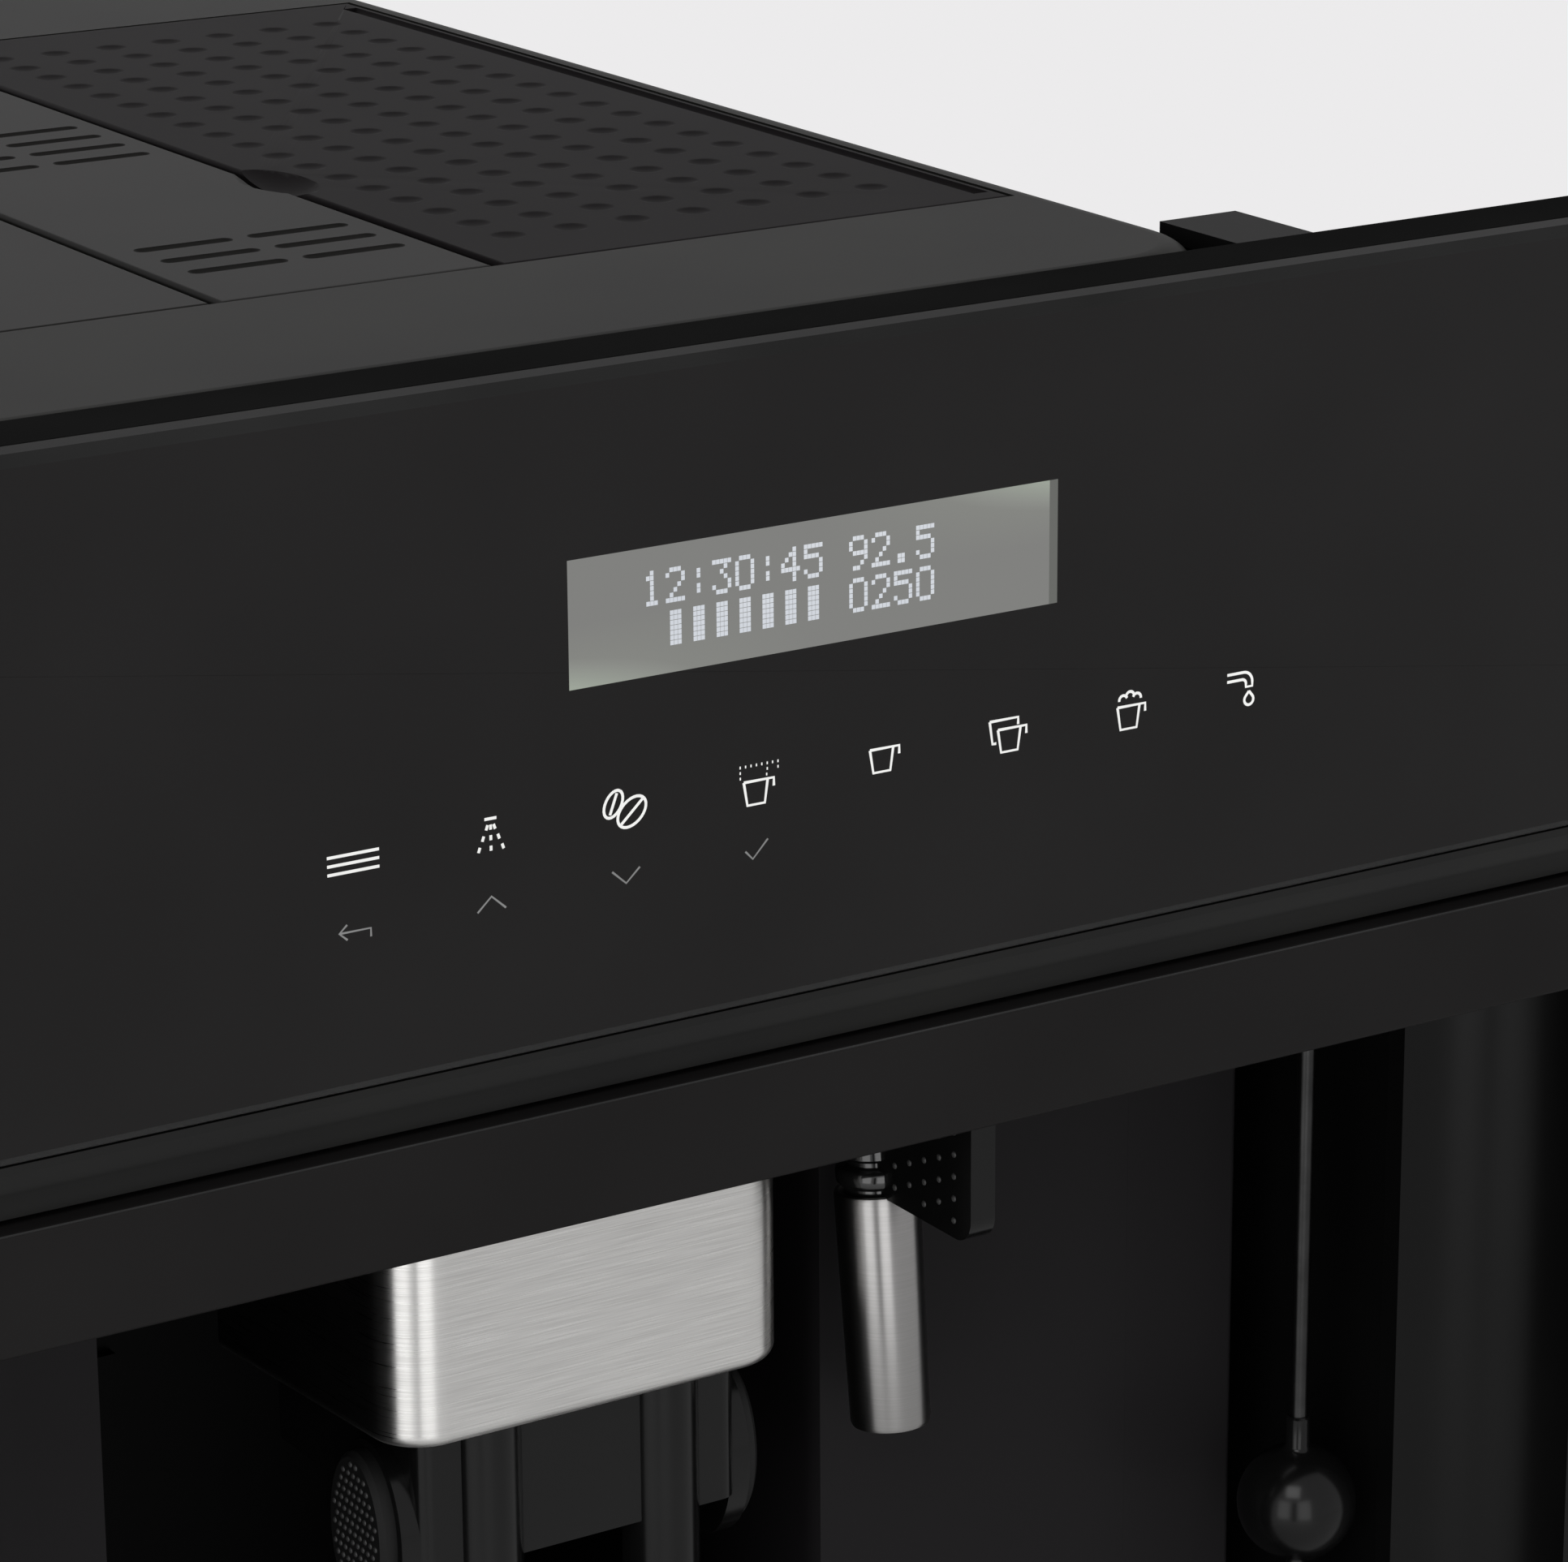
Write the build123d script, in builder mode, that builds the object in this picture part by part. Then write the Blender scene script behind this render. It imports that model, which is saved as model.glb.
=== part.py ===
from build123d import *
import math
import os

os.makedirs("parts", exist_ok=True)

# ---------------------------------------------------------------- driving sizes, mm
# Whole machine. X is across the front, -Y is out of the cabinet, +Z is up.
front_width = 595.0
front_height = 455.0
overall_depth = 412.0
floor_gap = 2.0          # under the front, so that it slides over the cabinet floor
sheet = 1.5              # folded steel
wall = 2.5               # moulded casings
play = 0.4               # between pieces of different bodies
seam = 0.3               # between trim pieces of one body

# Control panel, from the front back
glass_height = 94.4
glass_thickness = 6.0
glass_chamfer = 0.7
housing_depth = 12.0
pod_width = 216.0        # deeper middle of the housing, over the boards
pod_height = 78.0
pod_depth = 20.0
display_width = 80.0
display_height = 18.1
display_drop = 34.5      # from the top edge to the middle of the display
trim_height = 6.8
trim_setback = 1.5
trim_slot = 2.0
fascia_height = 17.4
fascia_wall = 2.6

# Front frame
frame_setback = 12.0
frame_depth = 24.0
frame_wall = 3.0
opening_width = 262.0
sill_height = 58.0
jamb_radius = 20.0
duct_wall = 3.0
duct_reach = 85.0        # from the glass to the back of the side ducts

# Core casing
core_width = 238.0
core_setback = 60.0
core_drop = 12.2         # below the top edge of the glass
core_radius = 22.0
cover_height = 10.0
cover_plate = 5.6
cover_round = 6.0
band_depth = 55.0        # plain front band of the top cover
moulding_foot = 112.6
moulding_depth = 108.0
niche_left = -86.5
niche_right = 37.6
niche_depth = 105.5
niche_top = front_height - 47.0

# Lids
lid_thickness = 3.0
lid_seam = 1.4
seam_left = -33.7        # groove between tank lid and vent strip
seam_right = 15.0        # groove between vent strip and bean lid
lid_margin = 7.4         # casing left beside the lids
tank_lid_length = overall_depth - 225.0
strip_length = overall_depth - 142.0
bean_lid_length = overall_depth - 181.0
ledge = 4.0

# Spout
spout_x = -14.0
spout_setback = 40.0
spout_width = 68.0
spout_depth = 51.0
spout_sheet = 1.2
spout_radius = 9.0
spout_flare = 4.0        # each side, wider at the back
spout_bottom = front_height - 169.8
spout_top = front_height - 55.0
spout_travel = 55.0
nozzle_spacing = 31.0
nozzle_radius = 6.0
nozzle_bore = 2.5

# Steam wand
wand_x = 41.5
wand_setback = 53.4
wand_lean = 5.8          # degrees towards the user
wand_pivot_height = front_height - 110.0
wand_drop = 42.4         # pivot to the top of the sleeve
sleeve_length = 39.5
sleeve_radius = 6.75
fin_thickness = 4.4
fin_setback = 20.2

# Drip tray
tray_width = 224.0
tray_height = 50.0
tray_setback = 30.0
tray_wall = 2.2
tray_travel = 160.0

# Runners
base_half = 277.0
rail_height = 45.7
rail_wall = 1.2
rail_length = overall_depth - 62.0
runner_travel = 300.0

# ---------------------------------------------------------------- places worked out
front_y = -overall_depth / 2
back_y = overall_depth / 2
glass_bottom = front_height - glass_height
housing_back = front_y + glass_thickness + housing_depth
trim_top = glass_bottom - seam
trim_bottom = trim_top - trim_height
fascia_top = trim_bottom - trim_slot
fascia_bottom = fascia_top - fascia_height
display_z = front_height - display_drop
frame_front = front_y + frame_setback
frame_back = frame_front + frame_depth
core_half = core_width / 2
core_front = front_y + core_setback
core_back = back_y - 6.0
core_top = front_height - core_drop
casing_top = core_top - cover_height
lid_floor = core_top - lid_thickness - play
lid_front = core_front + band_depth
niche_back = core_front + niche_depth
moulding_back = core_front + moulding_depth
opening_half = opening_width / 2
deck_z = sill_height
lid_left = -core_half + lid_margin
lid_right = core_half - lid_margin


def block(x, y, z, mode=Mode.ADD):
    """Box between two limits along each axis, added to the piece being built."""
    with Locations(((x[0] + x[1]) / 2, (y[0] + y[1]) / 2, (z[0] + z[1]) / 2)):
        Box(abs(x[1] - x[0]), abs(y[1] - y[0]), abs(z[1] - z[0]), mode=mode)


def post(x, y, radius, z, mode=Mode.ADD):
    """Upright cylinder between two heights."""
    with Locations((x, y, (z[0] + z[1]) / 2)):
        Cylinder(radius, abs(z[1] - z[0]), mode=mode)


def channel(web, lip, z):
    """Rail section of folded steel: an upright web with a flange at each end."""
    inner = web + math.copysign(rail_wall, lip - web)
    block((web, inner), rail_span, z)
    block((web, lip), rail_span, (z[0], z[0] + rail_wall))
    block((web, lip), rail_span, (z[1] - rail_wall, z[1]))


# ---------------------------------------------------------------- runner base and rails
rail_front = frame_back + seam
rail_span = (rail_front, rail_front + rail_length)
upstand = base_half - sheet
rail_foot = 3.0
outer_z = (rail_foot, rail_foot + rail_height)
rail_step = rail_wall + play
middle_z = (outer_z[0] + rail_step, outer_z[1] - rail_step)
inner_z = (middle_z[0] + rail_step, middle_z[1] - rail_step)
outer_web = upstand
middle_web = outer_web - rail_wall - 0.7
inner_tip = middle_web - rail_wall - 0.7
carrier_half = outer_web - 14.5
rod_x = 117.5
rod_y = front_y + 40.0
rod_radius = 1.5
catch_x = rod_x - 9.0
catch_y = rod_y - rod_radius - play - sheet
screw_spacing_x = 480.0
screw_spacing_y = overall_depth - 112.0
screw_radius = 2.25

with BuildPart() as runner_base:
    block((-base_half, base_half), (rail_front, back_y), (0, sheet))
    for side in (-1, 1):
        block((side * upstand, side * base_half), (rail_front, back_y), (0, outer_z[1] + 2))
    block((-base_half, base_half), (back_y - sheet, back_y), (0, 30))
    # screw holes into the cabinet floor
    with Locations(Plane.XY.offset(sheet)):
        with GridLocations(screw_spacing_x, screw_spacing_y, 2, 2):
            Hole(screw_radius)
    # tab that stands before the latch arm when it is turned across
    block((catch_x - 3, catch_x + 3), (catch_y, catch_y + sheet), (0, 16))
runner_base.part.label = "runner_base"
export_step(runner_base.part, "parts/runner_base.step")

with BuildPart() as outer_rail_right:
    channel(outer_web, carrier_half + 2, outer_z)
outer_rail_right.part.label = "outer_rail_right"
export_step(outer_rail_right.part, "parts/outer_rail_right.step")

with BuildPart() as outer_rail_left:
    mirror(outer_rail_right.part, about=Plane.YZ)
outer_rail_left.part.label = "outer_rail_left"
export_step(outer_rail_left.part, "parts/outer_rail_left.step")

with BuildPart() as middle_rail_right:
    channel(middle_web, carrier_half + 2, middle_z)
middle_rail_right.part.label = "middle_rail_right"
export_step(middle_rail_right.part, "parts/middle_rail_right.step")

with BuildPart() as middle_rail_left:
    mirror(middle_rail_right.part, about=Plane.YZ)
middle_rail_left.part.label = "middle_rail_left"
export_step(middle_rail_left.part, "parts/middle_rail_left.step")

with BuildPart() as inner_rail_right:
    channel(carrier_half, inner_tip, inner_z)
inner_rail_right.part.label = "inner_rail_right"
export_step(inner_rail_right.part, "parts/inner_rail_right.step")

with BuildPart() as inner_rail_left:
    mirror(inner_rail_right.part, about=Plane.YZ)
inner_rail_left.part.label = "inner_rail_left"
export_step(inner_rail_left.part, "parts/inner_rail_left.step")

# ---------------------------------------------------------------- chassis of the machine
with BuildPart() as chassis:
    block((-carrier_half, carrier_half), (frame_back, core_back), (deck_z - sheet, deck_z))
    for side in (-1, 1):
        edge = side * carrier_half
        block((edge, edge - side * sheet), (frame_back, core_back), (inner_z[0], deck_z))
    block((-carrier_half, carrier_half), (frame_back, frame_back + sheet), (18, deck_z))
    block((-carrier_half, carrier_half), (core_back - sheet, core_back), (32, deck_z))
    # vent holes under the pump
    with BuildSketch(Plane.XY.offset(deck_z)):
        with Locations((0, core_back - 90)):
            with GridLocations(14, 40, 8, 2):
                SlotOverall(30, 5, rotation=90)
    extrude(amount=-sheet, mode=Mode.SUBTRACT)
    post(rod_x, rod_y, rod_radius + play, (deck_z - 2 * sheet, deck_z + 1), mode=Mode.SUBTRACT)
chassis.part.label = "chassis"
export_step(chassis.part, "parts/chassis.step")

# ---------------------------------------------------------------- front frame
frame_half = front_width / 2
frame_top = glass_bottom - seam
ear_z = fascia_bottom

with BuildPart() as front_frame:
    # side posts: hollow section with a large rounded jamb, open at the back
    for side in (-1, 1):
        with BuildSketch(Plane.XY.offset(floor_gap)):
            with BuildLine():
                Polyline(
                    (side * opening_half, frame_back),
                    (side * opening_half, frame_front + jamb_radius),
                )
                RadiusArc(
                    (side * opening_half, frame_front + jamb_radius),
                    (side * (opening_half + jamb_radius), frame_front),
                    side * jamb_radius,
                )
                Polyline(
                    (side * (opening_half + jamb_radius), frame_front),
                    (side * frame_half, frame_front),
                    (side * frame_half, frame_back),
                    (side * opening_half, frame_back),
                )
            make_face()
            pocket_x = side * (opening_half + frame_wall)
            with BuildLine():
                Polyline(
                    (pocket_x, frame_back),
                    (pocket_x, frame_front + jamb_radius),
                )
                RadiusArc(
                    (pocket_x, frame_front + jamb_radius),
                    (side * (opening_half + jamb_radius), frame_front + frame_wall),
                    side * (jamb_radius - frame_wall),
                )
                Polyline(
                    (side * (opening_half + jamb_radius), frame_front + frame_wall),
                    (side * (frame_half - frame_wall), frame_front + frame_wall),
                    (side * (frame_half - frame_wall), frame_back),
                    (pocket_x, frame_back),
                )
            make_face(mode=Mode.SUBTRACT)
        extrude(amount=frame_top - floor_gap)
    # sill and top rail, with the same wall
    span = (-opening_half - jamb_radius, opening_half + jamb_radius)
    block(span, (frame_front, frame_back), (floor_gap, sill_height))
    block(
        span,
        (frame_front + frame_wall, frame_back),
        (floor_gap + frame_wall, sill_height - frame_wall),
        mode=Mode.SUBTRACT,
    )
    block(span, (frame_front, frame_back), (fascia_bottom, frame_top))
    block(
        span,
        (frame_front + frame_wall, frame_back),
        (fascia_bottom + frame_wall, frame_top - frame_wall),
        mode=Mode.SUBTRACT,
    )
    # ear that holds the top of the latch rod
    block((rod_x - 5, opening_half), (frame_back - 1, rod_y + 5), (ear_z, ear_z + 4))
    post(rod_x, rod_y, rod_radius + play, (ear_z - 1, ear_z + 5), mode=Mode.SUBTRACT)
front_frame.part.label = "front_frame"
export_step(front_frame.part, "parts/front_frame.step")

duct_x = (opening_half, opening_half + duct_wall)
duct_back = front_y + duct_reach

with BuildPart() as side_duct_right:
    # upright wall: shallower above the front frame, where the panel housing carries it
    with BuildSketch(Plane.YZ.offset(duct_x[0])):
        with BuildLine():
            Polyline(
                (frame_back, deck_z),
                (duct_back, deck_z),
                (duct_back, core_top),
                (housing_back, core_top),
                (housing_back, frame_top),
                (frame_back, frame_top),
                close=True,
            )
        make_face()
    extrude(amount=duct_wall)
    block((core_half, duct_x[1]), (duct_back - duct_wall, duct_back), (deck_z, core_top))
    block((core_half, duct_x[1]), (housing_back, duct_back), (core_top - duct_wall, core_top))
    fillet(side_duct_right.edges().filter_by(Axis.Z).sort_by(Axis.X)[-2:], 1.2)
side_duct_right.part.label = "side_duct_right"
export_step(side_duct_right.part, "parts/side_duct_right.step")

with BuildPart() as side_duct_left:
    mirror(side_duct_right.part, about=Plane.YZ)
side_duct_left.part.label = "side_duct_left"
export_step(side_duct_left.part, "parts/side_duct_left.step")

# ---------------------------------------------------------------- control panel
with BuildPart() as control_glass:
    with BuildSketch(Plane.XZ.offset(-front_y)):
        with Locations((0, glass_bottom + glass_height / 2)):
            RectangleRounded(front_width, glass_height, 1.5)
    extrude(amount=-glass_thickness)
    chamfer(control_glass.faces().filter_by(Axis.Y).edges(), glass_chamfer)
control_glass.part.label = "control_glass"
export_step(control_glass.part, "parts/control_glass.step")

pod_z = (display_z - 52.0, display_z - 52.0 + pod_height)
glass_back = front_y + glass_thickness

with BuildPart() as panel_housing:
    block((-frame_half, frame_half), (glass_back, housing_back), (glass_bottom, front_height))
    block((-pod_width / 2, pod_width / 2), (housing_back, housing_back + pod_depth), pod_z)
    fillet(panel_housing.faces().sort_by(Axis.Y)[-1].edges(), 5)
    block(
        (-frame_half + wall, frame_half - wall),
        (glass_back, housing_back - wall),
        (glass_bottom + wall, front_height - wall),
        mode=Mode.SUBTRACT,
    )
    block(
        (-pod_width / 2 + wall, pod_width / 2 - wall),
        (glass_back, housing_back + pod_depth - wall),
        (pod_z[0] + wall, pod_z[1] - wall),
        mode=Mode.SUBTRACT,
    )
    # ribs that the glass is bonded to
    for x in (-220.0, -150.0, 150.0, 220.0):
        block((x - 1, x + 1), (glass_back, housing_back), (glass_bottom + 1, front_height - 1))
panel_housing.part.label = "panel_housing"
export_step(panel_housing.part, "parts/panel_housing.step")

module_depth = 7.0

with BuildPart() as display_module:
    # metal bezel with a window, on its board
    block(
        (-display_width / 2 - 5, display_width / 2 + 5),
        (glass_back + seam, glass_back + module_depth),
        (display_z - display_height / 2 - 4, display_z + display_height / 2 + 4),
    )
    block(
        (-display_width / 2, display_width / 2),
        (glass_back, glass_back + 1.6),
        (display_z - display_height / 2, display_z + display_height / 2),
        mode=Mode.SUBTRACT,
    )
    block(
        (-display_width / 2 - 9, display_width / 2 + 9),
        (glass_back + module_depth, glass_back + module_depth + 1.6),
        (display_z - display_height / 2 - 9, display_z + display_height / 2 + 9),
    )
display_module.part.label = "display_module"
export_step(display_module.part, "parts/display_module.step")

key_pitch = 21.0
key_count = 8
key_z = display_z - 30.0
board_back = glass_back + module_depth + 1.6

with BuildPart() as panel_boards:
    block((-98, 98), (board_back, board_back + 1.6), (key_z - 14, key_z + 14))
    # one conductive spring pad behind each touch key
    for column in range(key_count):
        x = (column - (key_count - 1) / 2) * key_pitch
        with Locations(Location((x, (glass_back + seam + board_back) / 2, key_z), (90, 0, 0))):
            Cylinder(5, board_back - glass_back - seam)
            Cylinder(4, board_back - glass_back - seam, mode=Mode.SUBTRACT)
    # control board on four stand-offs at the back of the pod
    pod_floor = housing_back + pod_depth - wall
    block((-96, 96), (pod_floor - 7.6, pod_floor - 6), (pod_z[0] + 6, pod_z[1] - 6))
    for x in (-88.0, 88.0):
        for z in (pod_z[0] + 12, pod_z[1] - 12):
            block((x - 2.5, x + 2.5), (pod_floor - 6, pod_floor), (z - 2.5, z + 2.5))
    for x in (-60.0, -20.0, 25.0, 62.0):
        block((x - 9, x + 9), (pod_floor - 11, pod_floor - 7.6), (display_z - 22, display_z - 6))
panel_boards.part.label = "panel_boards"
export_step(panel_boards.part, "parts/panel_boards.step")

with BuildPart() as trim_profile:
    # full-width profile under the glass, hollowed along its front
    with BuildSketch(Plane.YZ.offset(-frame_half)):
        with BuildLine():
            Polyline(
                (front_y + trim_setback + 2.2, trim_bottom),
                (frame_front, trim_bottom),
                (frame_front, trim_top),
                (front_y + trim_setback, trim_top),
                (front_y + trim_setback, trim_top - 1.2),
            )
            RadiusArc(
                (front_y + trim_setback, trim_top - 1.2),
                (front_y + trim_setback + 2.2, trim_bottom),
                -12.0,
            )
        make_face()
    extrude(amount=front_width)
trim_profile.part.label = "trim_profile"
export_step(trim_profile.part, "parts/trim_profile.step")

with BuildPart() as lower_fascia:
    # channel profile with closed ends, its open side against the frame
    block((-frame_half, frame_half), (front_y, frame_front), (fascia_bottom, fascia_top))
    fillet(lower_fascia.edges().filter_by(Axis.X).sort_by(Axis.Y)[:2], 0.6)
    block(
        (-frame_half + fascia_wall, frame_half - fascia_wall),
        (front_y + fascia_wall, frame_front),
        (fascia_bottom + fascia_wall, fascia_top - fascia_wall),
        mode=Mode.SUBTRACT,
    )
    for x in (-200.0, -100.0, 0.0, 100.0, 200.0):
        block((x - 1, x + 1), (front_y + 1, frame_front), (fascia_bottom + 1, fascia_top - 1))
lower_fascia.part.label = "lower_fascia"
export_step(lower_fascia.part, "parts/lower_fascia.step")

# ---------------------------------------------------------------- core casing
pipe_radius = 2.5
pipe_drop_y = front_y + 70.0
coffee_pipe_z = niche_top + 8.0
steam_pipe_z = coffee_pipe_z + 9.0

with BuildPart() as front_moulding:
    mid_y = (core_front + moulding_back) / 2
    with BuildSketch(Plane.XY.offset(moulding_foot)) as plan:
        with Locations((0, mid_y)):
            Rectangle(core_width, moulding_depth)
        fillet(plan.vertices().sort_by(Axis.Y)[:2], core_radius)
    extrude(amount=casing_top - moulding_foot)
    with BuildSketch(Plane.XY.offset(moulding_foot)) as inside:
        with Locations((0, mid_y + wall)):
            Rectangle(core_width - 2 * wall, moulding_depth)
        fillet(inside.vertices().sort_by(Axis.Y)[:2], core_radius - wall)
    extrude(amount=casing_top - moulding_foot, mode=Mode.SUBTRACT)
    block(
        (niche_left - wall, niche_right + wall),
        (core_front, niche_back + wall),
        (moulding_foot, niche_top + wall),
    )
    with BuildSketch(Plane.XY.offset(moulding_foot)) as niche:
        with Locations(((niche_left + niche_right) / 2, (core_front + niche_back) / 2 - 10)):
            Rectangle(niche_right - niche_left, niche_depth + 20)
        fillet(niche.vertices().sort_by(Axis.Y)[-2:], 8)
    extrude(amount=niche_top - moulding_foot, mode=Mode.SUBTRACT)
    # upright ribs on the back wall of the niche
    for x in (-62.0, -50.0, -38.0):
        block((x - 2, x + 2), (niche_back - 2, niche_back + 1), (moulding_foot, 255))
    # holes for the coffee pipe above the spout and the steam pipe above the wand
    post(spout_x, pipe_drop_y, pipe_radius + 2, (niche_top - 1, niche_top + wall + 1), mode=Mode.SUBTRACT)
    with Locations(Location((wand_x, core_front + wall / 2, steam_pipe_z), (90, 0, 0))):
        Cylinder(pipe_radius + 1, 2 * wall, mode=Mode.SUBTRACT)
front_moulding.part.label = "front_moulding"
export_step(front_moulding.part, "parts/front_moulding.step")

lid_spans = {
    "tank": ((lid_left, seam_left), tank_lid_length),
    "strip": ((seam_left, seam_right), strip_length),
    "bean": ((seam_right, lid_right), bean_lid_length),
}

knob_x = 92.0
knob_y = lid_front + bean_lid_length - 18.0
knob_radius = 11.0
knob_foot = core_top - 20.0
stem_radius = 3.0

with BuildPart() as top_cover:
    with BuildSketch(Plane.XY.offset(casing_top)) as outline:
        with Locations((0, (core_front + core_back) / 2)):
            Rectangle(core_width, core_back - core_front)
        fillet(outline.vertices().sort_by(Axis.Y)[:2], core_radius)
    extrude(amount=cover_height)
    fillet(top_cover.faces().sort_by(Axis.Z)[-1].edges().sort_by(Axis.Y)[:-1], cover_round)
    with BuildSketch(Plane.XY.offset(casing_top)) as under:
        with Locations((0, (core_front + core_back) / 2)):
            Rectangle(core_width - 2 * wall, core_back - core_front - 2 * wall)
        fillet(under.vertices().sort_by(Axis.Y)[:2], core_radius - wall)
    extrude(amount=cover_height - cover_plate, mode=Mode.SUBTRACT)
    for (low, high), length in lid_spans.values():
        block(
            (low, high),
            (lid_front, lid_front + length + play),
            (lid_floor, core_top + 1),
            mode=Mode.SUBTRACT,
        )
    # openings under the lids
    tank_opening = (
        (lid_left + ledge, seam_left - ledge),
        (lid_front + 55, lid_front + tank_lid_length - ledge),
    )
    hopper_opening = (
        (seam_right + ledge + 3, lid_right - ledge - 2),
        (lid_front + 7, lid_front + bean_lid_length - 34),
    )
    vent_opening = (
        (seam_left + ledge, seam_right - ledge),
        (lid_front + 7, lid_front + strip_length - 115),
    )
    for x, y in (tank_opening, hopper_opening, vent_opening):
        block(x, y, (casing_top, core_top), mode=Mode.SUBTRACT)
    # cup for the grind setting knob
    post(knob_x, knob_y, knob_radius + 4, (knob_foot - 2, lid_floor))
    post(knob_x, knob_y, knob_radius + 1.5, (knob_foot, core_top), mode=Mode.SUBTRACT)
    post(knob_x, knob_y, stem_radius + 0.1, (knob_foot - 3, core_top), mode=Mode.SUBTRACT)
top_cover.part.label = "top_cover"
export_step(top_cover.part, "parts/top_cover.step")

slot_width = 2.6
slot_pitch = 9.5
slot_columns = ((-28.1, -10.0), (-8.2, 10.6))
slot_rows = [137.0 + slot_pitch * row for row in range(3)]
slot_rows += [228.0 + slot_pitch * row for row in range(4)]
dish_x = 16.6
dish_y = front_y + 193.4
dish_depth = 2.0
dish_half = 24.3         # of the whole lemon shape, of which the lid cuts the lowest part
dish_rise = 7.12         # its long axis above the lid

with BuildPart() as finger_dish:
    # hollow that the bean lid is lifted by, longer than wide
    dish_z = core_top + dish_rise
    with BuildSketch(Plane.YZ.offset(dish_x)):
        with BuildLine():
            ThreePointArc(
                (dish_y - dish_half, dish_z),
                (dish_y, core_top - dish_depth),
                (dish_y + dish_half, dish_z),
            )
            Line((dish_y + dish_half, dish_z), (dish_y - dish_half, dish_z))
        make_face()
    revolve(axis=Axis((dish_x, 0, dish_z), (0, 1, 0)))

with BuildPart() as vent_strip:
    block(
        (seam_left + lid_seam / 2, seam_right - lid_seam / 2),
        (lid_front + play, lid_front + strip_length),
        (core_top - lid_thickness, core_top),
    )
    fillet(vent_strip.faces().sort_by(Axis.Z)[-1].edges(), 0.8)
    with BuildSketch(Plane.XY.offset(core_top)):
        for low, high in slot_columns:
            for row in slot_rows:
                with Locations(((low + high) / 2, front_y + row)):
                    SlotOverall(high - low, slot_width)
    extrude(amount=-lid_thickness, mode=Mode.SUBTRACT)
    add(finger_dish.part, mode=Mode.SUBTRACT)
    # feet that stand on the recess floor
    for y in (lid_front + 3, lid_front + strip_length - 3):
        block((seam_left + 4, seam_right - 4), (y - 1, y + 1), (lid_floor, core_top - lid_thickness))
vent_strip.part.label = "vent_strip"
export_step(vent_strip.part, "parts/vent_strip.step")

panel_y = (moulding_back, core_back - wall)
door_y = (front_y + 176.0, front_y + 286.0)
door_z = (74.0, 208.0)

with BuildPart() as side_panel_right:
    with BuildSketch(Plane.YZ.offset(core_half - wall)):
        with BuildLine():
            Polyline(
                (core_front + core_radius, deck_z),
                (panel_y[1], deck_z),
                (panel_y[1], casing_top),
                (panel_y[0], casing_top),
                (panel_y[0], moulding_foot - seam),
                (core_front + core_radius, moulding_foot - seam),
                close=True,
            )
        make_face()
    extrude(amount=wall)
    # opening for the service door, with a stop flange behind it
    block((core_half - 9, core_half + 1), door_y, door_z, mode=Mode.SUBTRACT)
    flange_x = (core_half - 2 * wall - play, core_half - wall - play)
    block(flange_x, (door_y[0] - 6, door_y[0] + 4), (door_z[0] - 6, door_z[1] + 6))
    for low, high in ((door_z[0] - 6, door_z[0] + 4), (door_z[1] - 4, door_z[1] + 6)):
        block(flange_x, (door_y[0] - 6, door_y[1] - 12), (low, high))
    # step that joins the flange to the panel beside the opening
    step_x = (flange_x[0], core_half - wall + 0.1)
    block(step_x, (door_y[0] - 6, door_y[0] - 1), (door_z[0] - 6, door_z[1] + 6))
    for low, high in ((door_z[0] - 6, door_z[0] - 1), (door_z[1] + 1, door_z[1] + 6)):
        block(step_x, (door_y[0] - 6, door_y[1] - 12), (low, high))
side_panel_right.part.label = "side_panel_right"
export_step(side_panel_right.part, "parts/side_panel_right.step")

with BuildPart() as side_panel_left:
    with BuildSketch(Plane.YZ.offset(-core_half)):
        with BuildLine():
            Polyline(
                (core_front + core_radius, deck_z),
                (panel_y[1], deck_z),
                (panel_y[1], casing_top),
                (panel_y[0], casing_top),
                (panel_y[0], moulding_foot - seam),
                (core_front + core_radius, moulding_foot - seam),
                close=True,
            )
        make_face()
    extrude(amount=wall)
side_panel_left.part.label = "side_panel_left"
export_step(side_panel_left.part, "parts/side_panel_left.step")

inlet_x = -78.0
inlet_z = 96.0
inlet_width = 27.5
inlet_height = 20.0
switch_x = -40.0
switch_width = 19.2
switch_height = 13.0

with BuildPart() as rear_panel:
    block((-core_half, core_half), (core_back - wall, core_back), (deck_z, casing_top))
    # louvres over the boards and the boiler
    with BuildSketch(Plane.XZ.offset(-core_back)):
        for x in (-60.0, 60.0):
            with Locations((x, casing_top - 102.8)):
                with GridLocations(1, 11, 1, 9):
                    SlotOverall(84, 5)
    extrude(amount=wall, mode=Mode.SUBTRACT)
    for x, width, height in (
        (inlet_x, inlet_width, inlet_height),
        (switch_x, switch_width, switch_height),
    ):
        block(
            (x - width / 2, x + width / 2),
            (core_back - 10, core_back + 1),
            (inlet_z - height / 2, inlet_z + height / 2),
            mode=Mode.SUBTRACT,
        )
rear_panel.part.label = "rear_panel"
export_step(rear_panel.part, "parts/rear_panel.step")

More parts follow.
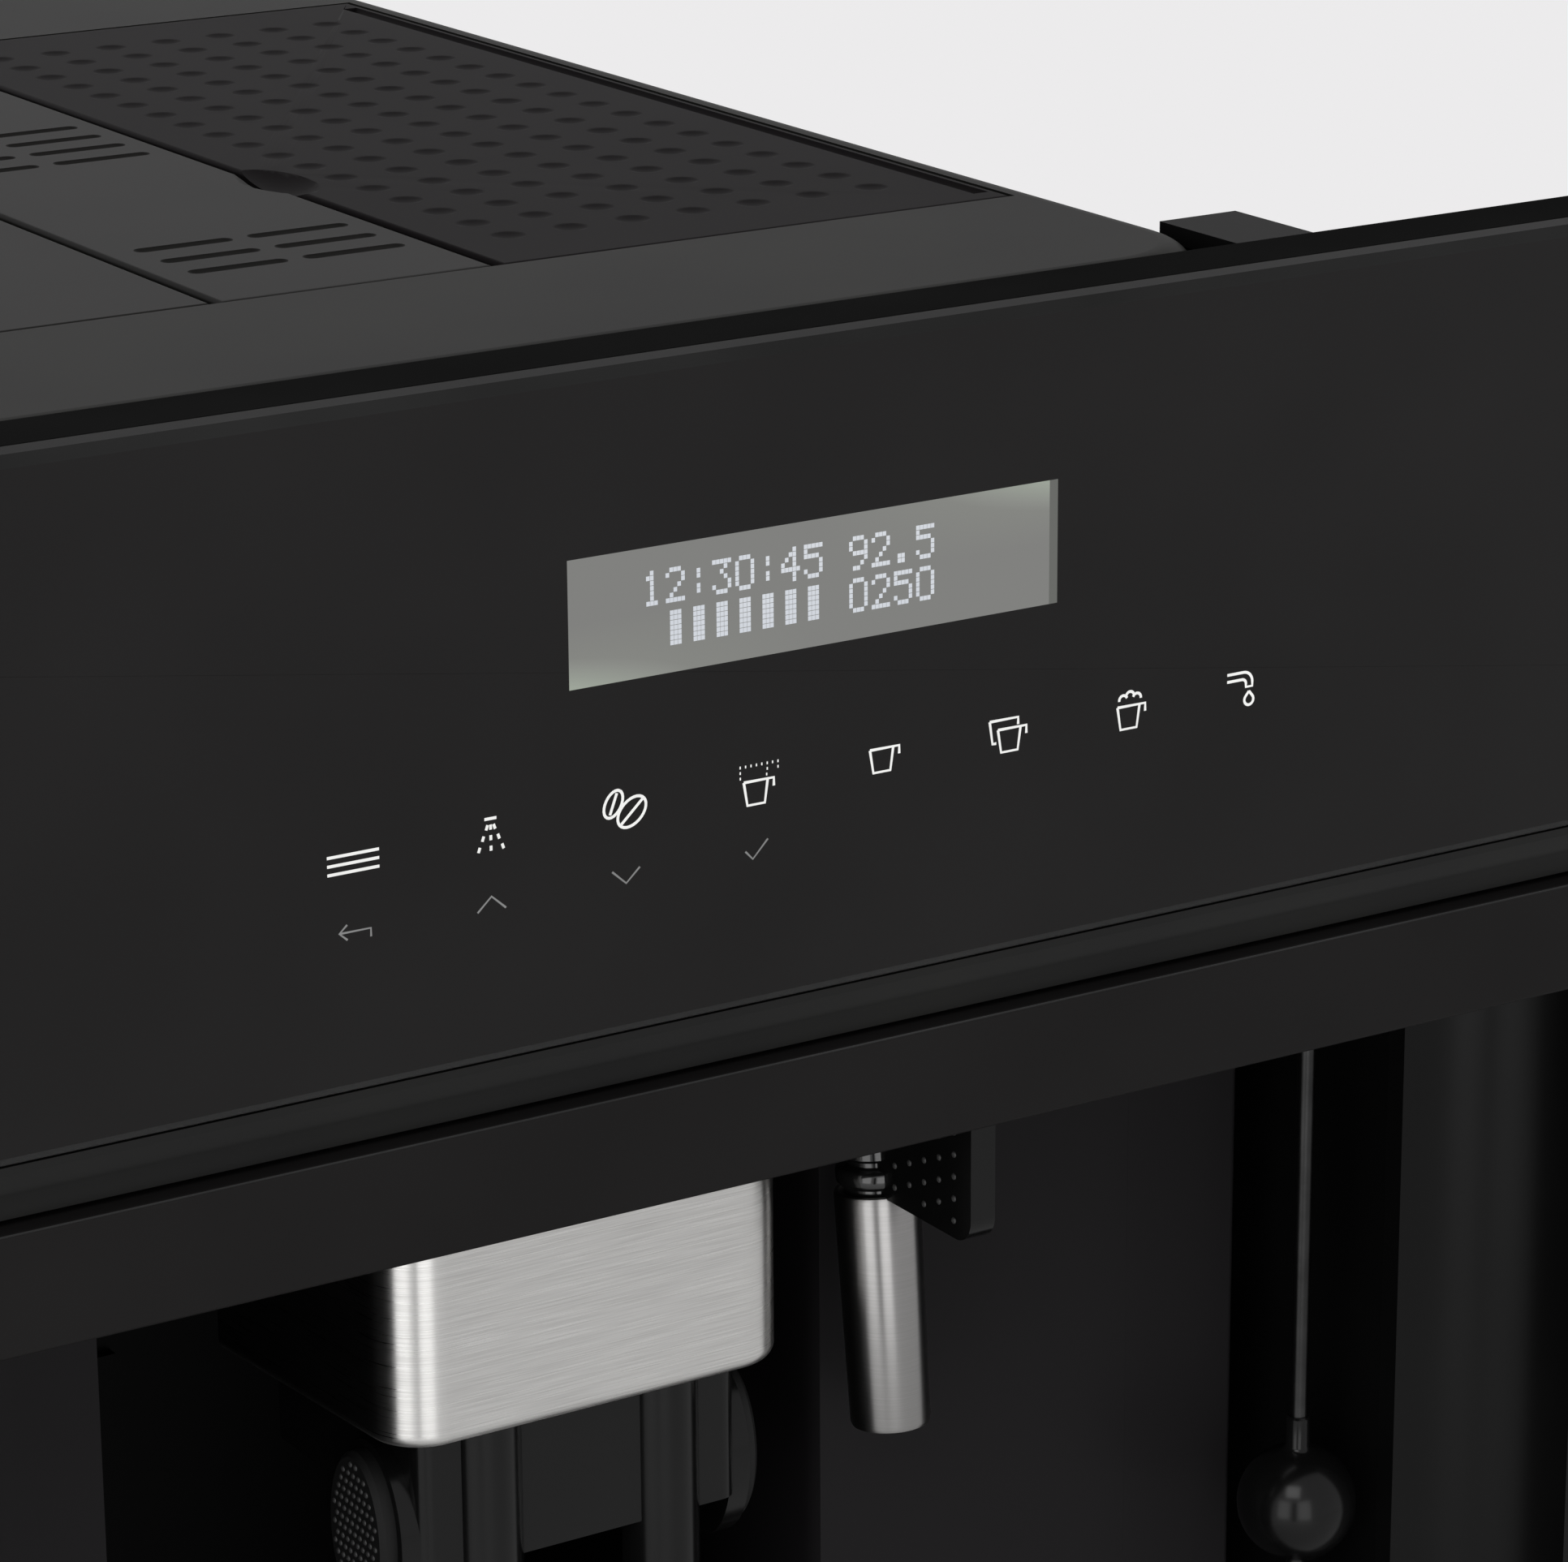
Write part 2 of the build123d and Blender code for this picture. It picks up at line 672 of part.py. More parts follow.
with BuildPart() as power_inlet:
    # three-pin appliance inlet with its flange outside the rear panel
    block(
        (inlet_x - inlet_width / 2, inlet_x + inlet_width / 2),
        (core_back - 22, core_back),
        (inlet_z - inlet_height / 2, inlet_z + inlet_height / 2),
    )
    with BuildSketch(Plane.XZ.offset(-core_back)):
        with Locations((inlet_x, inlet_z)):
            RectangleRounded(inlet_width + 14, inlet_height + 6, 4)
    extrude(amount=-3)
    with BuildSketch(Plane.XZ.offset(-core_back - 3)) as socket:
        with Locations((inlet_x, inlet_z)):
            Rectangle(inlet_width - 3, inlet_height - 3)
        chamfer(socket.vertices().sort_by(Axis.Y)[-2:], 5)
    extrude(amount=19, mode=Mode.SUBTRACT)
    for x, z in ((-7.0, -2.0), (0.0, 3.0), (7.0, -2.0)):
        block(
            (inlet_x + x - 1, inlet_x + x + 1),
            (core_back - 17, core_back - 1),
            (inlet_z + z - 2, inlet_z + z + 2),
        )
power_inlet.part.label = "power_inlet"
export_step(power_inlet.part, "parts/power_inlet.step")

rocker_pin = 1.0
pin_reach = switch_height / 2 - 0.3

with BuildPart() as switch_frame:
    block(
        (switch_x - switch_width / 2, switch_x + switch_width / 2),
        (core_back - 14, core_back),
        (inlet_z - switch_height / 2, inlet_z + switch_height / 2),
    )
    block(
        (switch_x - switch_width / 2 - 1.5, switch_x + switch_width / 2 + 1.5),
        (core_back, core_back + 1.5),
        (inlet_z - switch_height / 2 - 1.5, inlet_z + switch_height / 2 + 1.5),
    )
    block(
        (switch_x - switch_width / 2 + 1.4, switch_x + switch_width / 2 - 1.4),
        (core_back - 10, core_back + 2),
        (inlet_z - switch_height / 2 + 1.2, inlet_z + switch_height / 2 - 1.2),
        mode=Mode.SUBTRACT,
    )
    pin_hole = (inlet_z - pin_reach - 0.1, inlet_z + pin_reach + 0.1)
    post(switch_x, core_back, rocker_pin + 0.06, pin_hole, mode=Mode.SUBTRACT)
switch_frame.part.label = "switch_frame"
export_step(switch_frame.part, "parts/switch_frame.step")

rocker_half = switch_width / 2 - 1.4 - play
rocker_height = switch_height / 2 - 1.2 - play

with BuildPart() as switch_rocker:
    # two faces meeting at a shallow angle over the pivot
    with BuildSketch(Plane.XY.offset(inlet_z - rocker_height)):
        with BuildLine():
            Polyline(
                (switch_x - rocker_half + 0.6, core_back - 4),
                (switch_x - rocker_half + 0.3, core_back + 1.0),
                (switch_x, core_back + 1.6),
                (switch_x + rocker_half - 0.5, core_back + 3.6),
                (switch_x + rocker_half - 0.6, core_back - 1),
                (switch_x, core_back - 8),
                close=True,
            )
        make_face()
    extrude(amount=2 * rocker_height)
    post(switch_x, core_back, rocker_pin, (inlet_z - pin_reach, inlet_z + pin_reach))
switch_rocker.part.label = "switch_rocker"
export_step(switch_rocker.part, "parts/switch_rocker.step")

with BuildPart() as service_door:
    block(
        (core_half - wall, core_half),
        (door_y[0] + play, door_y[1] - play),
        (door_z[0] + play, door_z[1] - play),
    )
    # edge rounded about the hinge axis
    fillet(service_door.edges().filter_by(Axis.Z).sort_by(Axis.Y)[-2:], wall / 2 - 0.01)
    # finger recess near the free edge, and stiffening ribs behind
    with Locations((core_half + 5, door_y[0] + 18, (door_z[0] + door_z[1]) / 2)):
        Sphere(6.8, mode=Mode.SUBTRACT)
    for z in (door_z[0] + 30, door_z[1] - 30):
        block((core_half - wall - 2, core_half - wall), (door_y[0] + 12, door_y[1] - 14), (z - 1, z + 1))
service_door.part.label = "service_door"
export_step(service_door.part, "parts/service_door.step")

# ---------------------------------------------------------------- lids and hopper
hinge_round = 1.2

with BuildPart() as bean_lid:
    block(
        (seam_right + lid_seam / 2, lid_right - play),
        (lid_front + play, lid_front + bean_lid_length),
        (core_top - lid_thickness, core_top),
    )
    fillet(bean_lid.faces().sort_by(Axis.Z)[-1].edges(), 0.8)
    fillet(bean_lid.faces().sort_by(Axis.Z)[0].edges().sort_by(Axis.X)[-1], hinge_round)
    add(finger_dish.part, mode=Mode.SUBTRACT)
    # rubber-lipped skirt that closes the hopper
    skirt = 1.6
    low_x = hopper_opening[0][0] + 9
    high_x = hopper_opening[0][1] - 8
    low_y = hopper_opening[1][0] + 5
    high_y = hopper_opening[1][1] - 5
    skirt_z = (core_top - lid_thickness - 4, core_top - lid_thickness)
    block((low_x, high_x), (low_y, high_y), skirt_z)
    block(
        (low_x + skirt, high_x - skirt),
        (low_y + skirt, high_y - skirt),
        (skirt_z[0], skirt_z[1]),
        mode=Mode.SUBTRACT,
    )
bean_lid.part.label = "bean_lid"
export_step(bean_lid.part, "parts/bean_lid.step")

grinder_x = 78.0
grinder_y = front_y + 215.0
grinder_top = core_top - 92.8
burr_zone = 18.0
grinder_radius = 31.0
throat_radius = 14.0
hopper_wall = 2.0

with BuildPart() as bean_hopper:
    # tapering tub hung in the opening by its flange
    hop_x = (hopper_opening[0][0] + play, hopper_opening[0][1] - play)
    hop_y = (hopper_opening[1][0] + play, hopper_opening[1][1] - play)
    hop_mid = ((hop_x[0] + hop_x[1]) / 2, (hop_y[0] + hop_y[1]) / 2)
    hop_size = (hop_x[1] - hop_x[0], hop_y[1] - hop_y[0])
    # the floor of the tub is narrower, to pass beside the niche
    floor_x = (niche_right + wall + 5, hop_x[1] - 2)
    floor_mid = ((floor_x[0] + floor_x[1]) / 2, hop_mid[1])
    floor_size = (floor_x[1] - floor_x[0], hop_size[1] - 8)
    neck_size = (2 * throat_radius + 8, 2 * throat_radius + 8)
    for inset, mode in ((0, Mode.ADD), (2 * hopper_wall, Mode.SUBTRACT)):
        for (low, low_mid, low_size), (high, high_mid, high_size) in (
            ((lid_floor - 26, floor_mid, floor_size), (lid_floor, hop_mid, hop_size)),
            ((grinder_top + 4, (grinder_x, grinder_y), neck_size), (lid_floor - 26, floor_mid, floor_size)),
        ):
            for level, mid, size in ((high, high_mid, high_size), (low, low_mid, low_size)):
                with BuildSketch(Plane.XY.offset(level)):
                    with Locations(mid):
                        Rectangle(size[0] - inset, size[1] - inset)
            loft(mode=mode)
    post(grinder_x, grinder_y, throat_radius + 3, (grinder_top, grinder_top + 8))
    post(grinder_x, grinder_y, throat_radius, (grinder_top, grinder_top + 8.5), mode=Mode.SUBTRACT)
bean_hopper.part.label = "bean_hopper"
export_step(bean_hopper.part, "parts/bean_hopper.step")

with BuildPart() as tank_lid:
    block(
        (lid_left + play, seam_left - lid_seam / 2),
        (lid_front + play, lid_front + tank_lid_length),
        (core_top - lid_thickness, core_top),
    )
    fillet(tank_lid.faces().sort_by(Axis.Z)[-1].edges(), 0.8)
    fillet(tank_lid.faces().sort_by(Axis.Z)[0].edges().sort_by(Axis.Y)[-1], hinge_round)
tank_lid.part.label = "tank_lid"
export_step(tank_lid.part, "parts/tank_lid.step")

# ---------------------------------------------------------------- water
tank_foot = core_top - 232.8
tank_wall = 2.2
tank_x = (tank_opening[0][0] + play, tank_opening[0][1] - play)
tank_y = (tank_opening[1][0] + play, tank_opening[1][1] - play)
tank_mid = ((tank_x[0] + tank_x[1]) / 2, (tank_y[0] + tank_y[1]) / 2)
tank_size = (tank_x[1] - tank_x[0], tank_y[1] - tank_y[0])
valve_radius = 7.0

with BuildPart() as water_tank:
    with BuildSketch(Plane.XY.offset(tank_foot)):
        with Locations(tank_mid):
            RectangleRounded(tank_size[0], tank_size[1], 9)
    extrude(amount=lid_floor - tank_foot)
    fillet(water_tank.faces().sort_by(Axis.Z)[0].edges(), 4)
    with BuildSketch(Plane.XY.offset(tank_foot + tank_wall)):
        with Locations(tank_mid):
            RectangleRounded(tank_size[0] - 2 * tank_wall, tank_size[1] - 2 * tank_wall, 7)
    extrude(amount=lid_floor - tank_foot, mode=Mode.SUBTRACT)
    # lifting bar across the mouth
    block(
        (tank_x[0] + 1, tank_x[1] - 1),
        (tank_mid[1] - 5, tank_mid[1] + 5),
        (lid_floor - 14, lid_floor - 9),
    )
    # valve stem under the floor
    post(tank_mid[0], tank_mid[1], valve_radius, (tank_foot - 6, tank_foot + 1))
water_tank.part.label = "water_tank"
export_step(water_tank.part, "parts/water_tank.step")

seat_z = (tank_foot - 10, tank_foot - play)

with BuildPart() as tank_seat:
    block((-core_half + wall, tank_x[1]), (tank_y[0], tank_y[1]), seat_z)
    block(
        (-core_half + wall + 3, tank_x[1] - 3),
        (tank_y[0] + 3, tank_y[1] - 3),
        (seat_z[0], seat_z[1] - 3),
        mode=Mode.SUBTRACT,
    )
    post(tank_mid[0], tank_mid[1], valve_radius + 4, (seat_z[0] - 6, seat_z[1]))
    post(tank_mid[0], tank_mid[1], valve_radius + play, (seat_z[0] - 3, seat_z[1]), mode=Mode.SUBTRACT)
tank_seat.part.label = "tank_seat"
export_step(tank_seat.part, "parts/tank_seat.step")

pump_y = (core_back - 106.0, core_back - 40.0)
pump_z = 92.0
pump_radius = 15.0

with BuildPart() as pump:
    # vibration pump: coil in its iron yoke, brass and plastic ends
    block((-18, 18), (pump_y[0] + 16, pump_y[1] - 16), (pump_z - 20, pump_z + 20))
    fillet(pump.edges().filter_by(Axis.Y), 3)
    with BuildSketch(Plane.XZ.offset(-pump_y[0])):
        with Locations((0, pump_z)):
            Circle(pump_radius - 5)
    extrude(amount=pump_y[0] - pump_y[1])
    block((-10, 10), (pump_y[0] + 24, pump_y[1] - 24), (pump_z, pump_z + 26))
pump.part.label = "pump"
export_step(pump.part, "parts/pump.step")

with BuildPart() as pump_mounts:
    for y in (pump_y[0] + 9, pump_y[1] - 9):
        block((-16, 16), (y - 5, y + 5), (deck_z, pump_z - pump_radius + 3))
        block((-9, 9), (y - 5, y + 5), (pump_z - pump_radius + 3, pump_z))
        with Locations(Location((0, y, pump_z), (90, 0, 0))):
            Cylinder(pump_radius - 5, 12, mode=Mode.SUBTRACT)
pump_mounts.part.label = "pump_mounts"
export_step(pump_mounts.part, "parts/pump_mounts.step")

boiler_x = (-30.0, 35.0)
boiler_y = (front_y + 185.0, front_y + 250.0)
boiler_z = (core_top - 207.8, core_top - 112.8)

with BuildPart() as thermoblock:
    # cast heater body with cooling ribs and a mounting foot to the moulding
    block(boiler_x, boiler_y, boiler_z)
    fillet(thermoblock.edges().filter_by(Axis.Z), 8)
    for z in range(int(boiler_z[0]) + 12, int(boiler_z[1]) - 8, 14):
        with BuildSketch(Plane.XY.offset(z)):
            mid = ((boiler_x[0] + boiler_x[1]) / 2, (boiler_y[0] + boiler_y[1]) / 2)
            with Locations(mid):
                RectangleRounded(boiler_x[1] - boiler_x[0] + 1, boiler_y[1] - boiler_y[0] + 1, 8)
                RectangleRounded(
                    boiler_x[1] - boiler_x[0] - 8,
                    boiler_y[1] - boiler_y[0] - 8,
                    6,
                    mode=Mode.SUBTRACT,
                )
        extrude(amount=6, mode=Mode.SUBTRACT)
    foot_z = boiler_z[0] + 27
    block((-16, 4), (moulding_back, boiler_y[0] + 6), (foot_z, foot_z + 6))
    block((-16, 4), (moulding_back, moulding_back + 3), (foot_z, foot_z + 28))
thermoblock.part.label = "thermoblock"
export_step(thermoblock.part, "parts/thermoblock.step")


def pipe(points, radius, bend):
    """Bent tube along straight runs joined by arcs of one radius."""
    with BuildLine() as route:
        FilletPolyline(*points, radius=bend)
    start = Plane(origin=points[0], z_dir=Vector(*points[1]) - Vector(*points[0]))
    with BuildSketch(start) as section:
        Circle(radius)
    sweep(section.sketch, path=route.wires()[0])


steam_rise_y = core_front - 8.0

with BuildPart() as steam_pipe:
    steam_x = 5.0
    pipe(
        [
            (wand_x, steam_rise_y, wand_pivot_height + 13),
            (wand_x, steam_rise_y, steam_pipe_z),
            (wand_x, core_front + 40, steam_pipe_z),
            (steam_x, core_front + 40, steam_pipe_z),
            (steam_x, boiler_y[0] + 20, steam_pipe_z),
            (steam_x, boiler_y[0] + 20, boiler_z[1]),
        ],
        pipe_radius,
        12,
    )
steam_pipe.part.label = "steam_pipe"
export_step(steam_pipe.part, "parts/steam_pipe.step")

with BuildPart() as hoses:
    # suction hose from the tank valve, then pressure hose up to the boiler
    pipe(
        [
            (tank_mid[0], tank_mid[1], seat_z[0] - 6),
            (tank_mid[0], tank_mid[1], pump_z),
            (0, tank_mid[1], pump_z),
            (0, pump_y[0], pump_z),
        ],
        3.5,
        25,
    )
    pipe(
        [
            (5, (pump_y[0] + pump_y[1]) / 2, pump_z + 26),
            (5, (pump_y[0] + pump_y[1]) / 2, boiler_z[0] + 45),
            (5, boiler_y[1], boiler_z[0] + 45),
        ],
        3,
        30,
    )
hoses.part.label = "hoses"
export_step(hoses.part, "parts/hoses.step")

# ---------------------------------------------------------------- grinder
burr_floor = grinder_top - 24.0
burr_radius = 24.0
shaft_radius = 3.0
chute_y = grinder_y - 34.0
chute_foot = grinder_top - 138.0
grinder_axis = Axis((grinder_x, grinder_y, 0), (0, 0, 1))

with BuildPart() as grinder:
    # burr housing over the motor, turned as one profile
    with BuildSketch(Plane.XZ.offset(-grinder_y)):
        with BuildLine():
            Polyline(
                (grinder_x, grinder_top - 124),
                (grinder_x + 18, grinder_top - 124),
                (grinder_x + 24, grinder_top - 118),
                (grinder_x + 24, grinder_top - 54),
                (grinder_x + grinder_radius, grinder_top - 44),
                (grinder_x + grinder_radius, grinder_top),
                (grinder_x, grinder_top),
                close=True,
            )
        make_face()
    revolve(axis=grinder_axis)
    # chute down to the brewing chamber
    block((grinder_x - 8, grinder_x + 8), (chute_y - 9, chute_y + 9), (chute_foot, burr_floor + 12))
    inside_x = (grinder_x - 5.5, grinder_x + 5.5)
    block(inside_x, (chute_y - 6.5, chute_y + 6.5), (chute_foot - 1, burr_floor + 9), mode=Mode.SUBTRACT)
    block(inside_x, (chute_y, grinder_y), (burr_floor, burr_floor + 9), mode=Mode.SUBTRACT)
    post(grinder_x, grinder_y, grinder_radius - 3, (burr_floor, grinder_top - 4), mode=Mode.SUBTRACT)
    post(grinder_x, grinder_y, throat_radius, (burr_floor, grinder_top + 1), mode=Mode.SUBTRACT)
    post(grinder_x, grinder_y, shaft_radius + 0.06, (burr_floor - 20, burr_floor + 1), mode=Mode.SUBTRACT)
    # arm that is screwed to the side panel
    block(
        (grinder_x + grinder_radius - 2, core_half - wall),
        (grinder_y - 12, grinder_y + 12),
        (grinder_top - 44, grinder_top - 34),
    )
grinder.part.label = "grinder"
export_step(grinder.part, "parts/grinder.step")

upper_burr_z = (burr_floor + 8.6, grinder_top - 4)

with BuildPart() as upper_burr:
    # toothed ring clamped under the lid of the housing
    post(grinder_x, grinder_y, grinder_radius - 3, upper_burr_z)
    with BuildSketch(Plane.XZ.offset(-grinder_y)):
        with BuildLine():
            Polyline(
                (grinder_x, upper_burr_z[0] - 1),
                (grinder_x + 19, upper_burr_z[0] - 1),
                (grinder_x + throat_radius, upper_burr_z[1] + 1),
                (grinder_x, upper_burr_z[1] + 1),
                close=True,
            )
        make_face()
    revolve(axis=grinder_axis, mode=Mode.SUBTRACT)
    with Locations((grinder_x, grinder_y, upper_burr_z[0])):
        with PolarLocations(22, 12):
            Box(9, 1.4, 1.6, mode=Mode.SUBTRACT)
upper_burr.part.label = "upper_burr"
export_step(upper_burr.part, "parts/upper_burr.step")

with BuildPart() as lower_burr:
    # toothed disc with a feed cone, on its shaft
    post(grinder_x, grinder_y, burr_radius, (burr_floor + 1, burr_floor + 8))
    with Locations((grinder_x, grinder_y, burr_floor + 8)):
        with PolarLocations(20, 12, start_angle=15):
            Box(9, 1.4, 1.6, mode=Mode.SUBTRACT)
    with Locations((grinder_x, grinder_y, burr_floor + 11)):
        Cone(12, 4, 6)
    post(grinder_x, grinder_y, shaft_radius, (burr_floor - 18, burr_floor + 2))
lower_burr.part.label = "lower_burr"
export_step(lower_burr.part, "parts/lower_burr.step")

with BuildPart() as grind_knob:
    # fluted knob on a stem, with a pointer notch
    with BuildSketch(Plane.XY.offset(knob_foot + 1)):
        with Locations((knob_x, knob_y)):
            Circle(knob_radius)
            with PolarLocations(knob_radius, 12):
                Rectangle(1.6, 1.6, mode=Mode.SUBTRACT)
    extrude(amount=lid_floor - knob_foot - 2)
    post(knob_x, knob_y, stem_radius, (knob_foot - 6, knob_foot + 2))
    block(
        (knob_x - 0.8, knob_x + 0.8),
        (knob_y - knob_radius, knob_y - 3),
        (lid_floor - 2, lid_floor),
        mode=Mode.SUBTRACT,
    )
grind_knob.part.label = "grind_knob"
export_step(grind_knob.part, "parts/grind_knob.step")

# ---------------------------------------------------------------- brewing
brew_x = grinder_x - 1.0
brew_y = chute_y + 24.0
chamber_radius = 22.0
chamber_z = (deck_z + 44.0, deck_z + 94.0)
head_top = chute_foot - 6.0
piston_travel = 30.0
screw_x = brew_x - 20.0
screw_y = brew_y + 36.0

with BuildPart() as brew_unit:
    # back plate, foot and head of the infuser frame
    block((brew_x - 34, brew_x + 34), (brew_y + 46, brew_y + 52), (deck_z, head_top))
    block((brew_x - 34, brew_x + 34), (brew_y - 26, brew_y + 52), (deck_z, deck_z + 3))
    block((brew_x - 30, brew_x + 30), (brew_y + 10, brew_y + 52), (head_top - 10, head_top))
    # brewing chamber on its bracket
    post(brew_x, brew_y, chamber_radius + 3, chamber_z)
    bracket_z = (chamber_z[0] + 22, chamber_z[0] + 30)
    block((brew_x - 10, brew_x + 10), (brew_y + 10, brew_y + 50), bracket_z)
    post(brew_x, brew_y, chamber_radius, (chamber_z[0] - 1, chamber_z[1] + 1), mode=Mode.SUBTRACT)
    # fixed upper piston hanging from the head
    post(brew_x, brew_y, chamber_radius - 0.5, (chamber_z[1] - 6, chamber_z[1] + 2))
    post(brew_x, brew_y + 14, 7, (chamber_z[1] + 1, head_top - 6))
    # lead screw that lifts the lower piston
    post(screw_x, screw_y, 4, (deck_z + 2, head_top - 6))
    # side cheeks
    for side in (-1, 1):
        block(
            (brew_x + side * 31, brew_x + side * 34),
            (brew_y + 4, brew_y + 52),
            (deck_z, head_top),
        )
brew_unit.part.label = "brew_unit"
export_step(brew_unit.part, "parts/brew_unit.step")

piston_z = (chamber_z[0] + 3, chamber_z[0] + 11)

with BuildPart() as brew_piston:
    post(brew_x, brew_y, chamber_radius - play, piston_z)
    post(brew_x, brew_y, 6, (deck_z + 4, piston_z[0]))
    # arm with the nut that rides on the lead screw
    with BuildSketch(Plane.XY.offset(deck_z + 4)):
        with BuildLine():
            Polyline(
                (brew_x - 6, brew_y),
                (screw_x - 9, screw_y),
                (screw_x, screw_y + 9),
                (screw_x + 9, screw_y),
                (brew_x + 6, brew_y),
                close=True,
            )
        make_face()
        with Locations((screw_x, screw_y)):
            Circle(9)
            Circle(4 + play, mode=Mode.SUBTRACT)
    extrude(amount=8)
brew_piston.part.label = "brew_piston"
export_step(brew_piston.part, "parts/brew_piston.step")

board_x = -core_half + wall + 8.0
board_y = (core_back - 94.0, core_back - 14.0)
board_z = (deck_z + 70.0, core_top - 146.8)

with BuildPart() as power_board:
    # board on stand-offs inside the left side panel
    face = board_x + 1.6
    low_y, low_z = board_y[0], board_z[0]
    block((board_x, face), board_y, board_z)
    for y in (board_y[0] + 6, board_y[1] - 6):
        for z in (board_z[0] + 8, board_z[1] - 8):
            block((-core_half + wall, board_x), (y - 2.5, y + 2.5), (z - 2.5, z + 2.5))
    # transformer, choke, relays and a capacitor
    block((face, face + 26.4), (low_y + 10, low_y + 42), (low_z + 82, low_z + 116))
    block((face, face + 15.4), (low_y + 48, low_y + 72), (low_z + 87, low_z + 112))
    for z in (low_z + 14, low_z + 32, low_z + 50):
        block((face, face + 16.4), (low_y + 12, low_y + 40), (z - 6, z + 6))
    post(board_x + 9.5, low_y + 60, 8, (low_z + 22, low_z + 48))
power_board.part.label = "power_board"
export_step(power_board.part, "parts/power_board.step")

coffee_rise_x = 12.0
coffee_rise_y = moulding_back + 7.0

with BuildPart() as coffee_pipe:
    pipe(
        [
            (brew_x - 34, coffee_rise_y, head_top - 20),
            (coffee_rise_x, coffee_rise_y, head_top - 20),
            (coffee_rise_x, coffee_rise_y, coffee_pipe_z),
            (coffee_rise_x, pipe_drop_y + 30, coffee_pipe_z),
            (spout_x, pipe_drop_y, coffee_pipe_z),
            (spout_x, pipe_drop_y, spout_top - spout_travel - 15),
        ],
        pipe_radius,
        7,
    )
coffee_pipe.part.label = "coffee_pipe"
export_step(coffee_pipe.part, "parts/coffee_pipe.step")

# ---------------------------------------------------------------- spout
spout_front = front_y + spout_setback
spout_back = spout_front + spout_depth
body_half = 28.0
body_front = spout_front + 6.0
body_back = spout_back
body_foot = spout_bottom - 23.2
body_heel = spout_bottom - 16.7
body_top = spout_top - 5.0
rail_neck = 7.0
rail_head = 11.0
rail_depth = 4.6
rail_face = body_back + play
tower_front = spout_back + 11.0
tower_foot = niche_top - 112.0
hook_z = (body_top - 65.0, body_top)
nozzle_y = front_y + 49.0
nozzle_foot = spout_bottom - 33.2
nozzle_top = spout_bottom + 14.8
grip_y = front_y + 57.0
grip_z = spout_bottom - 18.7
grip_half_depth = 8.6
grip_half_height = 13.2
grip_thickness = 2.6

with BuildPart() as spout_tower:
    # fixed column with a T rail down its front
    block((spout_x - 25, spout_x + 25), (tower_front, niche_back), (tower_foot, niche_top))
    fillet(spout_tower.edges().filter_by(Axis.Z).sort_by(Axis.Y)[:2], 4)
    block(
        (spout_x - rail_neck, spout_x + rail_neck),
        (rail_face, tower_front + 1),
        (tower_foot, niche_top),
    )
    block(
        (spout_x - rail_head, spout_x + rail_head),
        (rail_face, rail_face + rail_depth),
        (tower_foot, niche_top),
    )
spout_tower.part.label = "spout_tower"
export_step(spout_tower.part, "parts/spout_tower.step")

half = spout_width / 2
cut_back = 6.0
slant = spout_flare * cut_back / spout_depth

with BuildPart() as spout_cover:
    # sheet wrapped round the front corners, with a rolled lower edge and an open back
    with BuildSketch(Plane.XY.offset(spout_bottom)) as wrap:
        with BuildLine():
            Polyline(
                (spout_x - half - spout_flare - slant, spout_back + cut_back),
                (spout_x - half, spout_front),
                (spout_x + half, spout_front),
                (spout_x + half + spout_flare + slant, spout_back + cut_back),
                close=True,
            )
        make_face()
        fillet(wrap.vertices().sort_by(Axis.Y)[:2], spout_radius)
    extrude(amount=spout_top - spout_bottom)
    fillet(spout_cover.faces().sort_by(Axis.Z)[0].edges().sort_by(Axis.Y)[:-1], 2.2)
    with BuildSketch(Plane.XY.offset(spout_bottom + spout_sheet)) as wrap_hollow:
        add(wrap.sketch)
        offset(amount=-spout_sheet)
    extrude(amount=spout_top - spout_bottom, mode=Mode.SUBTRACT)
    with BuildSketch(Plane.XY.offset(spout_bottom)):
        add(wrap.sketch)
        offset(amount=-2.8)
    extrude(amount=spout_sheet, mode=Mode.SUBTRACT)
    block(
        (spout_x - spout_width, spout_x + spout_width),
        (spout_back, spout_back + cut_back),
        (spout_bottom - 1, spout_top + 1),
        mode=Mode.SUBTRACT,
    )
spout_cover.part.label = "spout_cover"
export_step(spout_cover.part, "parts/spout_cover.step")
wrap_inside = wrap_hollow.sketch_local

